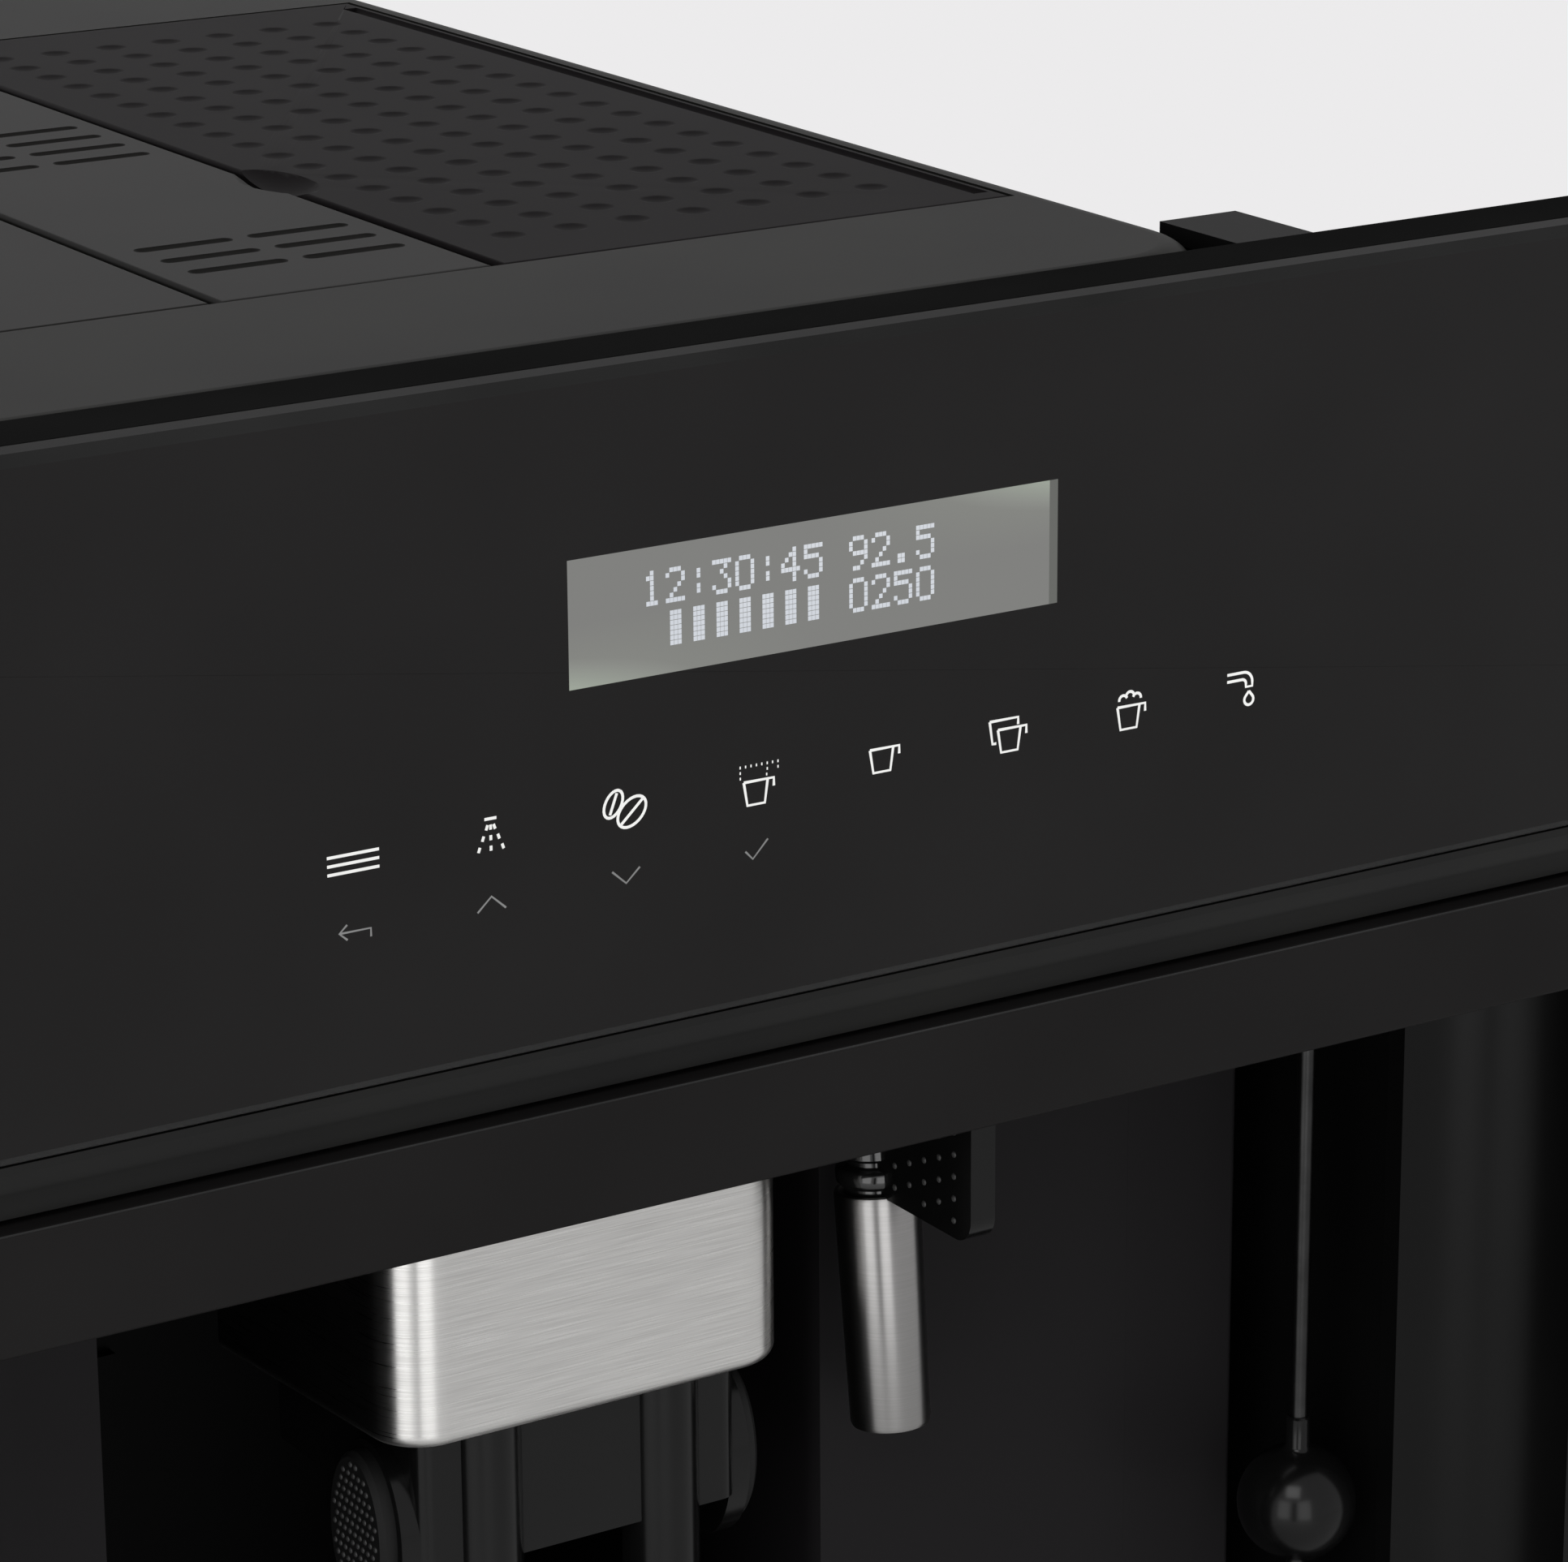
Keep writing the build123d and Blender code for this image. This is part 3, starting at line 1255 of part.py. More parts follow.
with BuildPart() as spout_body:
    # inner moulding: a hollow column that carries the nozzle block
    block((spout_x - body_half, spout_x + body_half), (body_front, body_back), (body_heel, body_top))
    block(
        (spout_x - body_half, spout_x + body_half),
        (body_front, body_front + 30),
        (body_foot, body_heel + 1),
    )
    fillet(spout_body.edges().filter_by(Axis.Z).sort_by(Axis.Y)[:2], 3)
    # webs that fill the cover
    for z in (spout_bottom + 10, body_top - 4):
        with BuildSketch(Plane.XY.offset(z)) as web:
            add(wrap_inside)
            with Locations((spout_x, spout_back + 10)):
                Rectangle(2 * spout_width, 20, mode=Mode.SUBTRACT)
        extrude(amount=3)
    # round pads at the sides, under the grips
    for side in (-1, 1):
        with BuildSketch(Plane.YZ.offset(spout_x + side * (body_half - 1))):
            with Locations((grip_y, grip_z)):
                Ellipse(grip_half_depth + 1.4, grip_half_height + 1.4)
        extrude(amount=side * 3.5)
    # chamber that the coffee pipe ends in, and its drain to the nozzles
    block(
        (spout_x - body_half + wall, spout_x + body_half - wall),
        (body_front + wall, body_back - wall),
        (nozzle_top, body_top - wall),
        mode=Mode.SUBTRACT,
    )
    post(spout_x, pipe_drop_y, pipe_radius + play, (body_top - wall - 1, body_top + 1), mode=Mode.SUBTRACT)
    for side in (-1, 1):
        post(
            spout_x + side * nozzle_spacing / 2,
            nozzle_y,
            nozzle_radius,
            (body_foot - 1, nozzle_top),
            mode=Mode.SUBTRACT,
        )
    # hooks that run on the T rail
    for side in (-1, 1):
        inner = spout_x + side * (rail_head + play)
        outer_edge = inner + side * 4
        lip = spout_x + side * (rail_neck + play)
        hook_y = (body_back, rail_face + rail_depth + play)
        block((inner, outer_edge), (hook_y[0], hook_y[1] + 3), hook_z)
        block((lip, outer_edge), (hook_y[1], hook_y[1] + 3), hook_z)
spout_body.part.label = "spout_body"
export_step(spout_body.part, "parts/spout_body.step")

with BuildPart() as spout_nozzles:
    for side in (-1, 1):
        x = spout_x + side * nozzle_spacing / 2
        post(x, nozzle_y, nozzle_radius, (nozzle_foot, nozzle_top))
        post(x, nozzle_y, nozzle_bore, (nozzle_foot - 1, nozzle_top + 1), mode=Mode.SUBTRACT)
    feet = spout_nozzles.faces().filter_by(Axis.Z).sort_by(Axis.Z)[:2].edges()
    chamfer(feet.filter_by(lambda edge: edge.radius > nozzle_bore + 1), 1.0)
spout_nozzles.part.label = "spout_nozzles"
export_step(spout_nozzles.part, "parts/spout_nozzles.step")

with BuildPart() as spout_grips:
    with BuildSketch(Plane.YZ.offset(spout_x + body_half + 2.5)):
        with Locations((grip_y, grip_z)):
            Ellipse(grip_half_depth, grip_half_height)
    extrude(amount=grip_thickness)
    chamfer(spout_grips.faces().sort_by(Axis.X)[-1].edges(), 0.8)
    mirror(about=Plane.YZ.offset(spout_x))
spout_grips.part.label = "spout_grips"
export_step(spout_grips.part, "parts/spout_grips.step")

# ---------------------------------------------------------------- steam wand
wand_y = front_y + wand_setback
wand_axis = Plane(
    origin=(wand_x, wand_y, wand_pivot_height),
    x_dir=(1, 0, 0),
    z_dir=(0, -math.sin(math.radians(wand_lean)), -math.cos(math.radians(wand_lean))),
)
neck_radius = 4.1
tube_radius = 3.0
tip_length = 1.2
pin_radius = 2.5
hub_y = (wand_y - 6.0, wand_y + 4.6)
cheek_y = (hub_y[0] - play, hub_y[1] + play)
pivot_block_y = (cheek_y[0] - 3.2, core_front)


def along_wand(start, end, radius, mode=Mode.ADD):
    """Round section along the wand, between two distances from its pivot."""
    with BuildSketch(wand_axis.offset(start)) as section:
        Circle(radius)
    extrude(section.sketch, amount=end - start, mode=mode)


with BuildPart() as wand_pivot:
    # fork screwed to the front of the moulding
    block((30, 53), pivot_block_y, (wand_pivot_height - 7, wand_pivot_height + 13))
    block((29, 54), cheek_y, (wand_pivot_height - 8, wand_pivot_height + 6.5), mode=Mode.SUBTRACT)
    with Locations(Location((wand_x, (pivot_block_y[0] + core_front) / 2, wand_pivot_height), (90, 0, 0))):
        Cylinder(pin_radius + 0.06, core_front - pivot_block_y[0] + 2, mode=Mode.SUBTRACT)
wand_pivot.part.label = "wand_pivot"
export_step(wand_pivot.part, "parts/wand_pivot.step")

with BuildPart() as wand_neck:
    # hub and axle, neck with two collar rings, then the steam tube
    with Locations(Location((wand_x, (hub_y[0] + hub_y[1]) / 2, wand_pivot_height), (90, 0, 0))):
        Cylinder(6, hub_y[1] - hub_y[0])
    pin_y = (pivot_block_y[0] + play, core_front - play)
    with Locations(Location((wand_x, (pin_y[0] + pin_y[1]) / 2, wand_pivot_height), (90, 0, 0))):
        Cylinder(pin_radius, pin_y[1] - pin_y[0])
    along_wand(0, wand_drop, neck_radius)
    along_wand(wand_drop - 7.0, wand_drop - 4.2, sleeve_radius - 1.1)
    along_wand(wand_drop - 3.0, wand_drop, sleeve_radius - 1.1)
    along_wand(wand_drop, wand_drop + sleeve_length + tip_length, tube_radius)
    along_wand(wand_drop + sleeve_length - 4, wand_drop + sleeve_length + 3, 0.8, mode=Mode.SUBTRACT)
wand_neck.part.label = "wand_neck"
export_step(wand_neck.part, "parts/wand_neck.step")

with BuildPart() as wand_sleeve:
    along_wand(wand_drop, wand_drop + sleeve_length, sleeve_radius)
    chamfer(wand_sleeve.faces().sort_by(Axis.Z)[0].edges(), 1.0)
    fillet(wand_sleeve.faces().sort_by(Axis.Z)[-1].edges(), 0.8)
    along_wand(wand_drop - 1, wand_drop + sleeve_length + 1, tube_radius, mode=Mode.SUBTRACT)
wand_sleeve.part.label = "wand_sleeve"
export_step(wand_sleeve.part, "parts/wand_sleeve.step")

fin_z = (fascia_bottom - 27.9, fascia_bottom - 5.1)

with BuildPart() as wand_fin:
    # flat finger plate in front of the neck
    with BuildSketch(Plane.YZ.offset(wand_x - fin_thickness / 2)) as plate:
        with BuildLine():
            Polyline(
                (front_y + fin_setback, fin_z[0]),
                (wand_y - 3.5, fin_z[0]),
                (wand_y - 2, fin_z[1]),
                (front_y + fin_setback, fin_z[1]),
                close=True,
            )
        make_face()
        fillet(plate.vertices().sort_by(Axis.Y)[:2], 4)
    extrude(amount=fin_thickness)
    add(wand_neck.part, mode=Mode.SUBTRACT)
wand_fin.part.label = "wand_fin"
export_step(wand_fin.part, "parts/wand_fin.step")

# ---------------------------------------------------------------- drip tray
float_x = -72.0
float_y = front_y + 148.0
tray_foot = deck_z + play
tray_top = tray_foot + tray_height
tray_half = tray_width / 2
tray_y = (front_y + tray_setback, moulding_back - 3.0)
tray_floor = tray_foot + tray_wall
divider_x = 38.0
bin_front = front_y + 64.0

with BuildPart() as drip_tray:
    with BuildSketch(Plane.XY.offset(tray_foot)) as plan:
        with Locations((0, (tray_y[0] + tray_y[1]) / 2)):
            Rectangle(tray_width, tray_y[1] - tray_y[0])
        fillet(plan.vertices().sort_by(Axis.Y)[:2], 12)
        fillet(plan.vertices().sort_by(Axis.Y)[-2:], 5)
    extrude(amount=tray_height)
    fillet(drip_tray.faces().sort_by(Axis.Z)[0].edges(), 2.5)
    with BuildSketch(Plane.XY.offset(tray_floor)):
        add(plan.sketch)
        offset(amount=-tray_wall)
    extrude(amount=tray_height, mode=Mode.SUBTRACT)
    # wall beside the grounds container, and the closed corner in front of it
    block((divider_x, divider_x + tray_wall), (tray_y[0] + 1, tray_y[1] - 1), (tray_floor, tray_top))
    block(
        (divider_x, tray_half - 12),
        (tray_y[0] + 1, bin_front - play),
        (tray_top - tray_wall, tray_top),
    )
    block(
        (divider_x, tray_half - 1),
        (bin_front - tray_wall - play, bin_front - play),
        (tray_floor, tray_top),
    )
    # finger recess in the front wall
    recess_z = (tray_foot + 8.0, tray_foot + 26.0)
    block(
        (-34, 34),
        (tray_y[0] + 1, tray_y[0] + 9),
        (recess_z[0] - tray_wall, recess_z[1] + tray_wall),
    )
    block((-31, 31), (tray_y[0] - 1, tray_y[0] + 6), recess_z, mode=Mode.SUBTRACT)
    # guide pin of the float
    post(float_x, float_y, 1.5, (tray_foot + 1, tray_floor + 22))
drip_tray.part.label = "drip_tray"
export_step(drip_tray.part, "parts/drip_tray.step")

grid_thickness = 2.0
finger_hole = 9.0

with BuildPart() as drip_grid:
    # pressed plate with a down-turned rim inside the tray
    grid_x = (-tray_half + 0.5, divider_x)
    grid_y = (tray_y[0] + 0.5, tray_y[1] - 0.5)
    grid_mid = ((grid_x[0] + grid_x[1]) / 2, (grid_y[0] + grid_y[1]) / 2)
    with BuildSketch(Plane.XY.offset(tray_top)) as plate:
        with Locations(grid_mid):
            Rectangle(grid_x[1] - grid_x[0], grid_y[1] - grid_y[0])
        fillet(plate.vertices().sort_by(Axis.X)[:2], 11)
        fillet(plate.vertices().sort_by(Axis.X)[-2:], 2)
    extrude(amount=grid_thickness)
    fillet(drip_grid.faces().sort_by(Axis.Z)[-1].edges(), 0.6)
    with BuildSketch(Plane.XY.offset(tray_top)):
        with Locations(grid_mid):
            RectangleRounded(grid_x[1] - grid_x[0] - 8, grid_y[1] - grid_y[0] - 8, 9)
            RectangleRounded(
                grid_x[1] - grid_x[0] - 11,
                grid_y[1] - grid_y[0] - 11,
                8,
                mode=Mode.SUBTRACT,
            )
    extrude(amount=-4)
    with BuildSketch(Plane.XY.offset(tray_top)):
        with Locations(grid_mid):
            with GridLocations(10.5, 68, 12, 2):
                SlotOverall(40, 4, rotation=90)
            # finger hole to lift the grid by
            Circle(finger_hole)
        with Locations((float_x, float_y)):
            Circle(5.5)
    extrude(amount=grid_thickness, mode=Mode.SUBTRACT)
drip_grid.part.label = "drip_grid"
export_step(drip_grid.part, "parts/drip_grid.step")

with BuildPart() as grounds_container:
    bin_x = (divider_x + tray_wall + 1, tray_half - tray_wall - 1)
    bin_y = (bin_front, tray_y[1] - tray_wall - 1)
    bin_mid = ((bin_x[0] + bin_x[1]) / 2, (bin_y[0] + bin_y[1]) / 2)
    with BuildSketch(Plane.XY.offset(tray_floor)):
        with Locations(bin_mid):
            RectangleRounded(bin_x[1] - bin_x[0], bin_y[1] - bin_y[0], 6)
    extrude(amount=tray_top - tray_floor)
    with BuildSketch(Plane.XY.offset(tray_floor + 2)):
        with Locations(bin_mid):
            RectangleRounded(bin_x[1] - bin_x[0] - 4, bin_y[1] - bin_y[0] - 4, 4)
    extrude(amount=tray_top - tray_floor, mode=Mode.SUBTRACT)
grounds_container.part.label = "grounds_container"
export_step(grounds_container.part, "parts/grounds_container.step")

with BuildPart() as tray_float:
    post(float_x, float_y, 9, (tray_floor + play, tray_floor + 14))
    post(float_x, float_y, 4, (tray_floor + 13, tray_top + 1))
    post(float_x, float_y, 1.5 + play, (tray_floor, tray_floor + 34), mode=Mode.SUBTRACT)
tray_float.part.label = "tray_float"
export_step(tray_float.part, "parts/tray_float.step")

# ---------------------------------------------------------------- latch
latch_z = (10.0, 14.0)
latch_reach = 14.0

with BuildPart() as release_rod:
    post(rod_x, rod_y, rod_radius, (latch_z[0], ear_z + 7))
    post(rod_x, rod_y, rod_radius + 1.5, (ear_z + 4 + play, ear_z + 7))
    # arm that a quarter turn brings behind the tab on the runner base, to lock
    block((rod_x - rod_radius, rod_x + rod_radius), (rod_y, rod_y + latch_reach), latch_z)
release_rod.part.label = "release_rod"
export_step(release_rod.part, "parts/release_rod.step")

dome_top = 247.0
dome_radius = 12.0
collar_radius = 2.4

with BuildPart() as release_knob:
    # ball under a slim collar
    with BuildSketch(Plane.XZ.offset(-rod_y)):
        with BuildLine():
            Polyline(
                (rod_x + collar_radius, dome_top),
                (rod_x + collar_radius, dome_top + 7),
                (rod_x + rod_radius, dome_top + 7),
                (rod_x + rod_radius, dome_top - 2 * dome_radius + 3),
                (rod_x + dome_radius - 4, dome_top - 2 * dome_radius + 3),
                (rod_x + dome_radius, dome_top - dome_radius),
            )
            RadiusArc(
                (rod_x + dome_radius, dome_top - dome_radius),
                (rod_x + collar_radius, dome_top),
                -dome_radius,
            )
        make_face()
    revolve(axis=Axis((rod_x, rod_y, 0), (0, 0, 1)))
release_knob.part.label = "release_knob"
export_step(release_knob.part, "parts/release_knob.step")
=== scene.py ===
import bpy
import math
from mathutils import Matrix, Vector


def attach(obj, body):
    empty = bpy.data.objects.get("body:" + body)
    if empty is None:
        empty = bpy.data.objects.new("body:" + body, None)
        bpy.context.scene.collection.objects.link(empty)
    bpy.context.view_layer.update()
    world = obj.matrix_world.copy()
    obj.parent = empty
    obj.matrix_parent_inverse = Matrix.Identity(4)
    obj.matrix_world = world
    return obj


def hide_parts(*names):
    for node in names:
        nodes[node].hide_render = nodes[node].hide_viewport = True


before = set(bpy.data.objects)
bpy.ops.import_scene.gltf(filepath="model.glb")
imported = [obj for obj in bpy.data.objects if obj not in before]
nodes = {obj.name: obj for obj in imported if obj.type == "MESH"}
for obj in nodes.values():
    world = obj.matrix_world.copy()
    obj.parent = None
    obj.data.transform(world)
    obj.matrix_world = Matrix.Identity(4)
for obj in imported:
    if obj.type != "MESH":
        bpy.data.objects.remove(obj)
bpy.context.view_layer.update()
mm = 0.001
weld = 0.002 * mm  # points nearer than this become one
print("frame loaded:", len(nodes), "nodes")


def linear(hexColour, alpha=1.0):
    # sRGB hex to Blender's linear colour
    values = [int(hexColour[i:i + 2], 16) / 255 for i in (1, 3, 5)]
    return [v / 12.92 if v <= 0.04045 else ((v + 0.055) / 1.055) ** 2.4 for v in values] + [alpha]


def addNode(tree, kind, links=None, inputs=None, **settings):
    # one node with its settings, its socket values and what is plugged into it
    node = tree.nodes.new(kind)
    for key, value in settings.items():
        setattr(node, key, value)
    for key, value in (inputs or {}).items():
        node.inputs[key].default_value = value
    for key, source in (links or {}).items():
        tree.links.new(source, node.inputs[key])
    return node


def newMaterial(name):
    material = bpy.data.materials.new(name)
    material.use_nodes = True
    tree = material.node_tree
    tree.nodes.clear()
    surface = addNode(tree, "ShaderNodeBsdfPrincipled")
    addNode(tree, "ShaderNodeOutputMaterial", {"Surface": surface.outputs[0]})
    return material, tree, surface


def ramp(node, stops):
    # colour stops of a Color Ramp, as (place, hex)
    band = node.color_ramp
    while len(band.elements) < len(stops):
        band.elements.new(0.5)
    for element, (place, colour) in zip(band.elements, stops):
        element.position = place
        element.color = linear(colour)


# the finishes, each made from a few sizes in mm
def mouldedPlastic(name, colour, lighter, roughness, grain=0.25, depth=0.02, level=0.5):
    # injection moulded, spark-eroded: a fine even grain and a soft sheen
    material, tree, surface = newMaterial(name)
    place = addNode(tree, "ShaderNodeTexCoord").outputs["Object"]
    tone = addNode(tree, "ShaderNodeTexNoise", {"Vector": place}, {"Scale": 1 / (40 * mm), "Detail": 2.0})
    mix = addNode(tree, "ShaderNodeValToRGB", {"Fac": tone.outputs["Fac"]})
    ramp(mix, [(0.35, colour), (0.7, lighter)])
    pits = addNode(tree, "ShaderNodeTexNoise", {"Vector": place}, {"Scale": 1 / (grain * mm), "Detail": 1.0})
    bump = addNode(tree, "ShaderNodeBump", {"Height": pits.outputs["Fac"]},
                   {"Strength": 0.35, "Distance": depth * mm})
    tree.links.new(mix.outputs["Color"], surface.inputs["Base Color"])
    tree.links.new(bump.outputs["Normal"], surface.inputs["Normal"])
    surface.inputs["Roughness"].default_value = roughness
    surface.inputs["Specular IOR Level"].default_value = level
    return material


def brushedSteel(name, grainAlong, colour="#bcbbb9", dark="#a4a3a1", roughness=0.32, width=0.16, drawnOut=0.0,
                 lift=0.25, spread=0.14):
    # stainless sheet, linished in one direction: thin bright and dull lines,
    # and highlights drawn out across the grain
    material, tree, surface = newMaterial(name)
    place = addNode(tree, "ShaderNodeTexCoord").outputs["Object"]
    lineLength = 14.0
    size = [1 / (lineLength * mm) if axis in grainAlong else 1 / (width * mm) for axis in "xyz"]
    stretched = addNode(tree, "ShaderNodeMapping", {"Vector": place}, {"Scale": size})
    lines = addNode(tree, "ShaderNodeTexNoise", {"Vector": stretched.outputs[0]}, {"Scale": 1.0, "Detail": 3.0})
    tint = addNode(tree, "ShaderNodeValToRGB", {"Fac": lines.outputs["Fac"]})
    ramp(tint, [(0.3, dark), (0.7, colour)])
    dull = addNode(
        tree, "ShaderNodeMapRange", {"Value": lines.outputs["Fac"]},
        {"From Min": 0.3, "From Max": 0.7, "To Min": roughness + spread / 2, "To Max": roughness - spread / 2},
    )
    bump = addNode(tree, "ShaderNodeBump", {"Height": lines.outputs["Fac"]},
                   {"Strength": lift, "Distance": 0.01 * mm})
    tree.links.new(tint.outputs["Color"], surface.inputs["Base Color"])
    tree.links.new(dull.outputs[0], surface.inputs["Roughness"])
    tree.links.new(bump.outputs["Normal"], surface.inputs["Normal"])
    surface.inputs["Metallic"].default_value = 1.0
    if drawnOut:
        around = addNode(tree, "ShaderNodeTangent", direction_type="RADIAL", axis="Z")
        tree.links.new(around.outputs[0], surface.inputs["Tangent"])
        surface.inputs["Anisotropic"].default_value = drawnOut
        surface.inputs["Anisotropic Rotation"].default_value = 0.25
    return material


def smoothMetal(name, colour, darker, roughness, blotch=6.0):
    # rolled, cast or plated metal with a faintly uneven tone
    material, tree, surface = newMaterial(name)
    place = addNode(tree, "ShaderNodeTexCoord").outputs["Object"]
    noise = addNode(tree, "ShaderNodeTexNoise", {"Vector": place}, {"Scale": 1 / (blotch * mm), "Detail": 4.0})
    tint = addNode(tree, "ShaderNodeValToRGB", {"Fac": noise.outputs["Fac"]})
    ramp(tint, [(0.35, darker), (0.65, colour)])
    tree.links.new(tint.outputs["Color"], surface.inputs["Base Color"])
    surface.inputs["Metallic"].default_value = 1.0
    surface.inputs["Roughness"].default_value = roughness
    return material


def clearPlastic(name, colour, lighter, roughness, cloud):
    # moulded clear: light goes through, with a faint cloud in it
    material, tree, surface = newMaterial(name)
    place = addNode(tree, "ShaderNodeTexCoord").outputs["Object"]
    noise = addNode(tree, "ShaderNodeTexNoise", {"Vector": place}, {"Scale": 1 / (cloud * mm), "Detail": 1.0})
    tint = addNode(tree, "ShaderNodeValToRGB", {"Fac": noise.outputs["Fac"]})
    ramp(tint, [(0.3, colour), (0.8, lighter)])
    tree.links.new(tint.outputs["Color"], surface.inputs["Base Color"])
    surface.inputs["Roughness"].default_value = roughness
    surface.inputs["Transmission Weight"].default_value = 0.75
    surface.inputs["IOR"].default_value = 1.49
    return material


# deep even black under a hard clear gloss
blackGlass = mouldedPlastic(
    "black glass, back printed", "#131212", "#161515", 0.14, grain=30, depth=0.002, level=0.15)
# greyer than the face, where the grinding breaks the light up
groundGlass = mouldedPlastic(
    "glass edge, ground satin", "#1f1f1f", "#262626", 0.5, grain=0.4, depth=0.01, level=0.02)
# one thin line under the glass, painted a little paler than the face as a highlight, with a real shine of its own
polishedEdgeHighlight = mouldedPlastic(
    "glass edge, polished, painted highlight", "#2e2e2e", "#343434", 0.25, grain=0.8, depth=0.004, level=0.3)
# dark from every side, with no shine of its own
housingPlastic = mouldedPlastic("housing ABS, smooth black", "#151515", "#191919", 0.4, depth=0.006, level=0.0)
# soft roll of light along the hollow
trimPlastic = mouldedPlastic("trim ABS, satin black", "#121212", "#161615", 0.30, depth=0.006, level=0.15)
# flat, faintly warm black with no mirror
fasciaPaint = mouldedPlastic(
    "aluminium strip, black satin paint", "#131212", "#161515", 0.5, depth=0.006, level=0.08)
# the strip's top edge, painted paler as a highlight: a faint hairline
edgeHighlightPaint = mouldedPlastic(
    "aluminium strip, painted edge highlight", "#262626", "#2e2e2e", 0.4, grain=0.5, depth=0.01, level=0.12)
# fine orange peel, soft sheen on the rounded jambs
framePaint = mouldedPlastic(
    "steel frame, black powder coat", "#070707", "#0a0a0a", 0.30, grain=0.6, depth=0.02, level=0.13)
# even charcoal with a dull bloom at low angles
casingPlastic = mouldedPlastic("casing ABS, fine grained", "#151514", "#1a1a18", 0.5, depth=0.02, level=0.045)
# a tone under the casing, nearly black all over as painted shade for the dark inside
ductDarkenedPlastic = mouldedPlastic("duct ABS, spark eroded, darkened as painted shade", "#070707", "#0a0a0a", 0.5, depth=0.02, level=0.035)
# satin, hard to tell from the casing beside it
lidPlastic = mouldedPlastic("lid ABS, satin", "#141413", "#181716", 0.48, depth=0.012, level=0.045)
# duller and a little warmer than the other lids
beanPlastic = mouldedPlastic("bean lid ABS, satin", "#110f10", "#141213", 0.48, depth=0.012, level=0.012)
# wet looking black that picks up edges
innerPlastic = mouldedPlastic("inner moulding, glossy black", "#080808", "#0b0b0b", 0.2, depth=0.004, level=0.2)
# matt dark grey with fibres near the surface
glassFilled = mouldedPlastic("glass filled nylon, dull", "#262626", "#303030", 0.55, grain=0.5, depth=0.04)
# no shine, slightly dusty
softRubber = mouldedPlastic("soft rubber", "#0c0c0c", "#121212", 0.6, depth=0.02, level=0.2)
# pale points on the domes: a paler colour as painted glints, over a stronger real shine
paleGlintDots = mouldedPlastic("soft rubber, dots with painted glints", "#262626", "#303030", 0.45, depth=0.01, level=0.4)
# cloudy white
whiteTube = mouldedPlastic("PTFE tube, milky", "#d0d0c8", "#dcdcd6", 0.35)
# one spot of clean red
redPlastic = mouldedPlastic("float, red styrene", "#9c1a14", "#b3241c", 0.3)
# weave of the board showing through the mask
boardGreen = mouldedPlastic("circuit board, green mask", "#0f4a2a", "#17603a", 0.35, grain=1.2, depth=0.05)
# black mirror that rings the neck with sharp lines of light
neckPlastic = mouldedPlastic("neck, glossy black plastic", "#0c0c0c", "#101010", 0.12, depth=0.002, level=0.6)
# level streaks, and lamps drawn out into upright bands
spoutSteel = brushedSteel("spout cover, linished stainless", "xy", "#cfcecc", "#bab9b7", drawnOut=0.75)
# greyer than the cover, with long clean bands and hardly a streak
sleeveSteel = brushedSteel("wand sleeve, turned stainless", "xy", "#8e8d8c", "#868584", roughness=0.3, width=0.14,
                           drawnOut=0.6, lift=0.03, spread=0.02)
# fine lines from side to side
gridSteel = brushedSteel("drip grid, brushed stainless", "x")
# grey sheet with a faint spangle
zincSheet = smoothMetal("galvanised sheet", "#a4a8aa", "#8c9194", 0.38)
# dark line with one thin light along it
platedRod = smoothMetal("blackened steel rod", "#3a3a3a", "#303030", 0.3)
# dull and grainy
castAluminium = smoothMetal("cast aluminium", "#a3a3a1", "#8f8f8d", 0.5, blotch=2.0)
# hard grey with small bright facets
burrSteel = smoothMetal("ground tool steel", "#7c7b79", "#686765", 0.3, blotch=1.0)
# grey water-clear wall, polished in the mould
smokedStyrene = clearPlastic("tank, smoked styrene", "#b4babd", "#8f9496", 0.08, cloud=60)

# the niche is the front's satin black outside, with painted shade that darkens it towards its back wall, where no
# light reaches
nicheShadedPlastic, nicheTree, nicheSurface = newMaterial("niche ABS, black satin, painted shade inward")
nichePlace = addNode(nicheTree, "ShaderNodeTexCoord").outputs["Object"]
nicheParts = addNode(nicheTree, "ShaderNodeSeparateXYZ", {"Vector": nichePlace})
# the painted shade runs along Y from the front value to the dark value; grain and depth size the bump
nicheShadeAndGrain = {"front": -145.0, "dark": -105.0, "grain": 0.25, "depth": 0.012}
nicheShadeFalloff = addNode(nicheTree, "ShaderNodeMapRange", {"Value": nicheParts.outputs["Y"]},
                     {"From Min": nicheShadeAndGrain["front"] * mm, "From Max": nicheShadeAndGrain["dark"] * mm})
nichePaintedShade = addNode(nicheTree, "ShaderNodeValToRGB", {"Fac": nicheShadeFalloff.outputs[0]})
# painted shade: satin black at the front, near black at the back wall
ramp(nichePaintedShade, [(0.0, "#1c1b1c"), (0.1, "#131213"), (1.0, "#020202")])
nicheGrain = addNode(nicheTree, "ShaderNodeTexNoise", {"Vector": nichePlace},
                     {"Scale": 1 / (nicheShadeAndGrain["grain"] * mm), "Detail": 1.0})
nicheBump = addNode(nicheTree, "ShaderNodeBump", {"Height": nicheGrain.outputs["Fac"]},
                    {"Strength": 0.35, "Distance": nicheShadeAndGrain["depth"] * mm})
nicheTree.links.new(nichePaintedShade.outputs["Color"], nicheSurface.inputs["Base Color"])
nicheTree.links.new(nicheBump.outputs["Normal"], nicheSurface.inputs["Normal"])
nicheSurface.inputs["Roughness"].default_value = 0.36
nicheSurface.inputs["Specular IOR Level"].default_value = 0.04

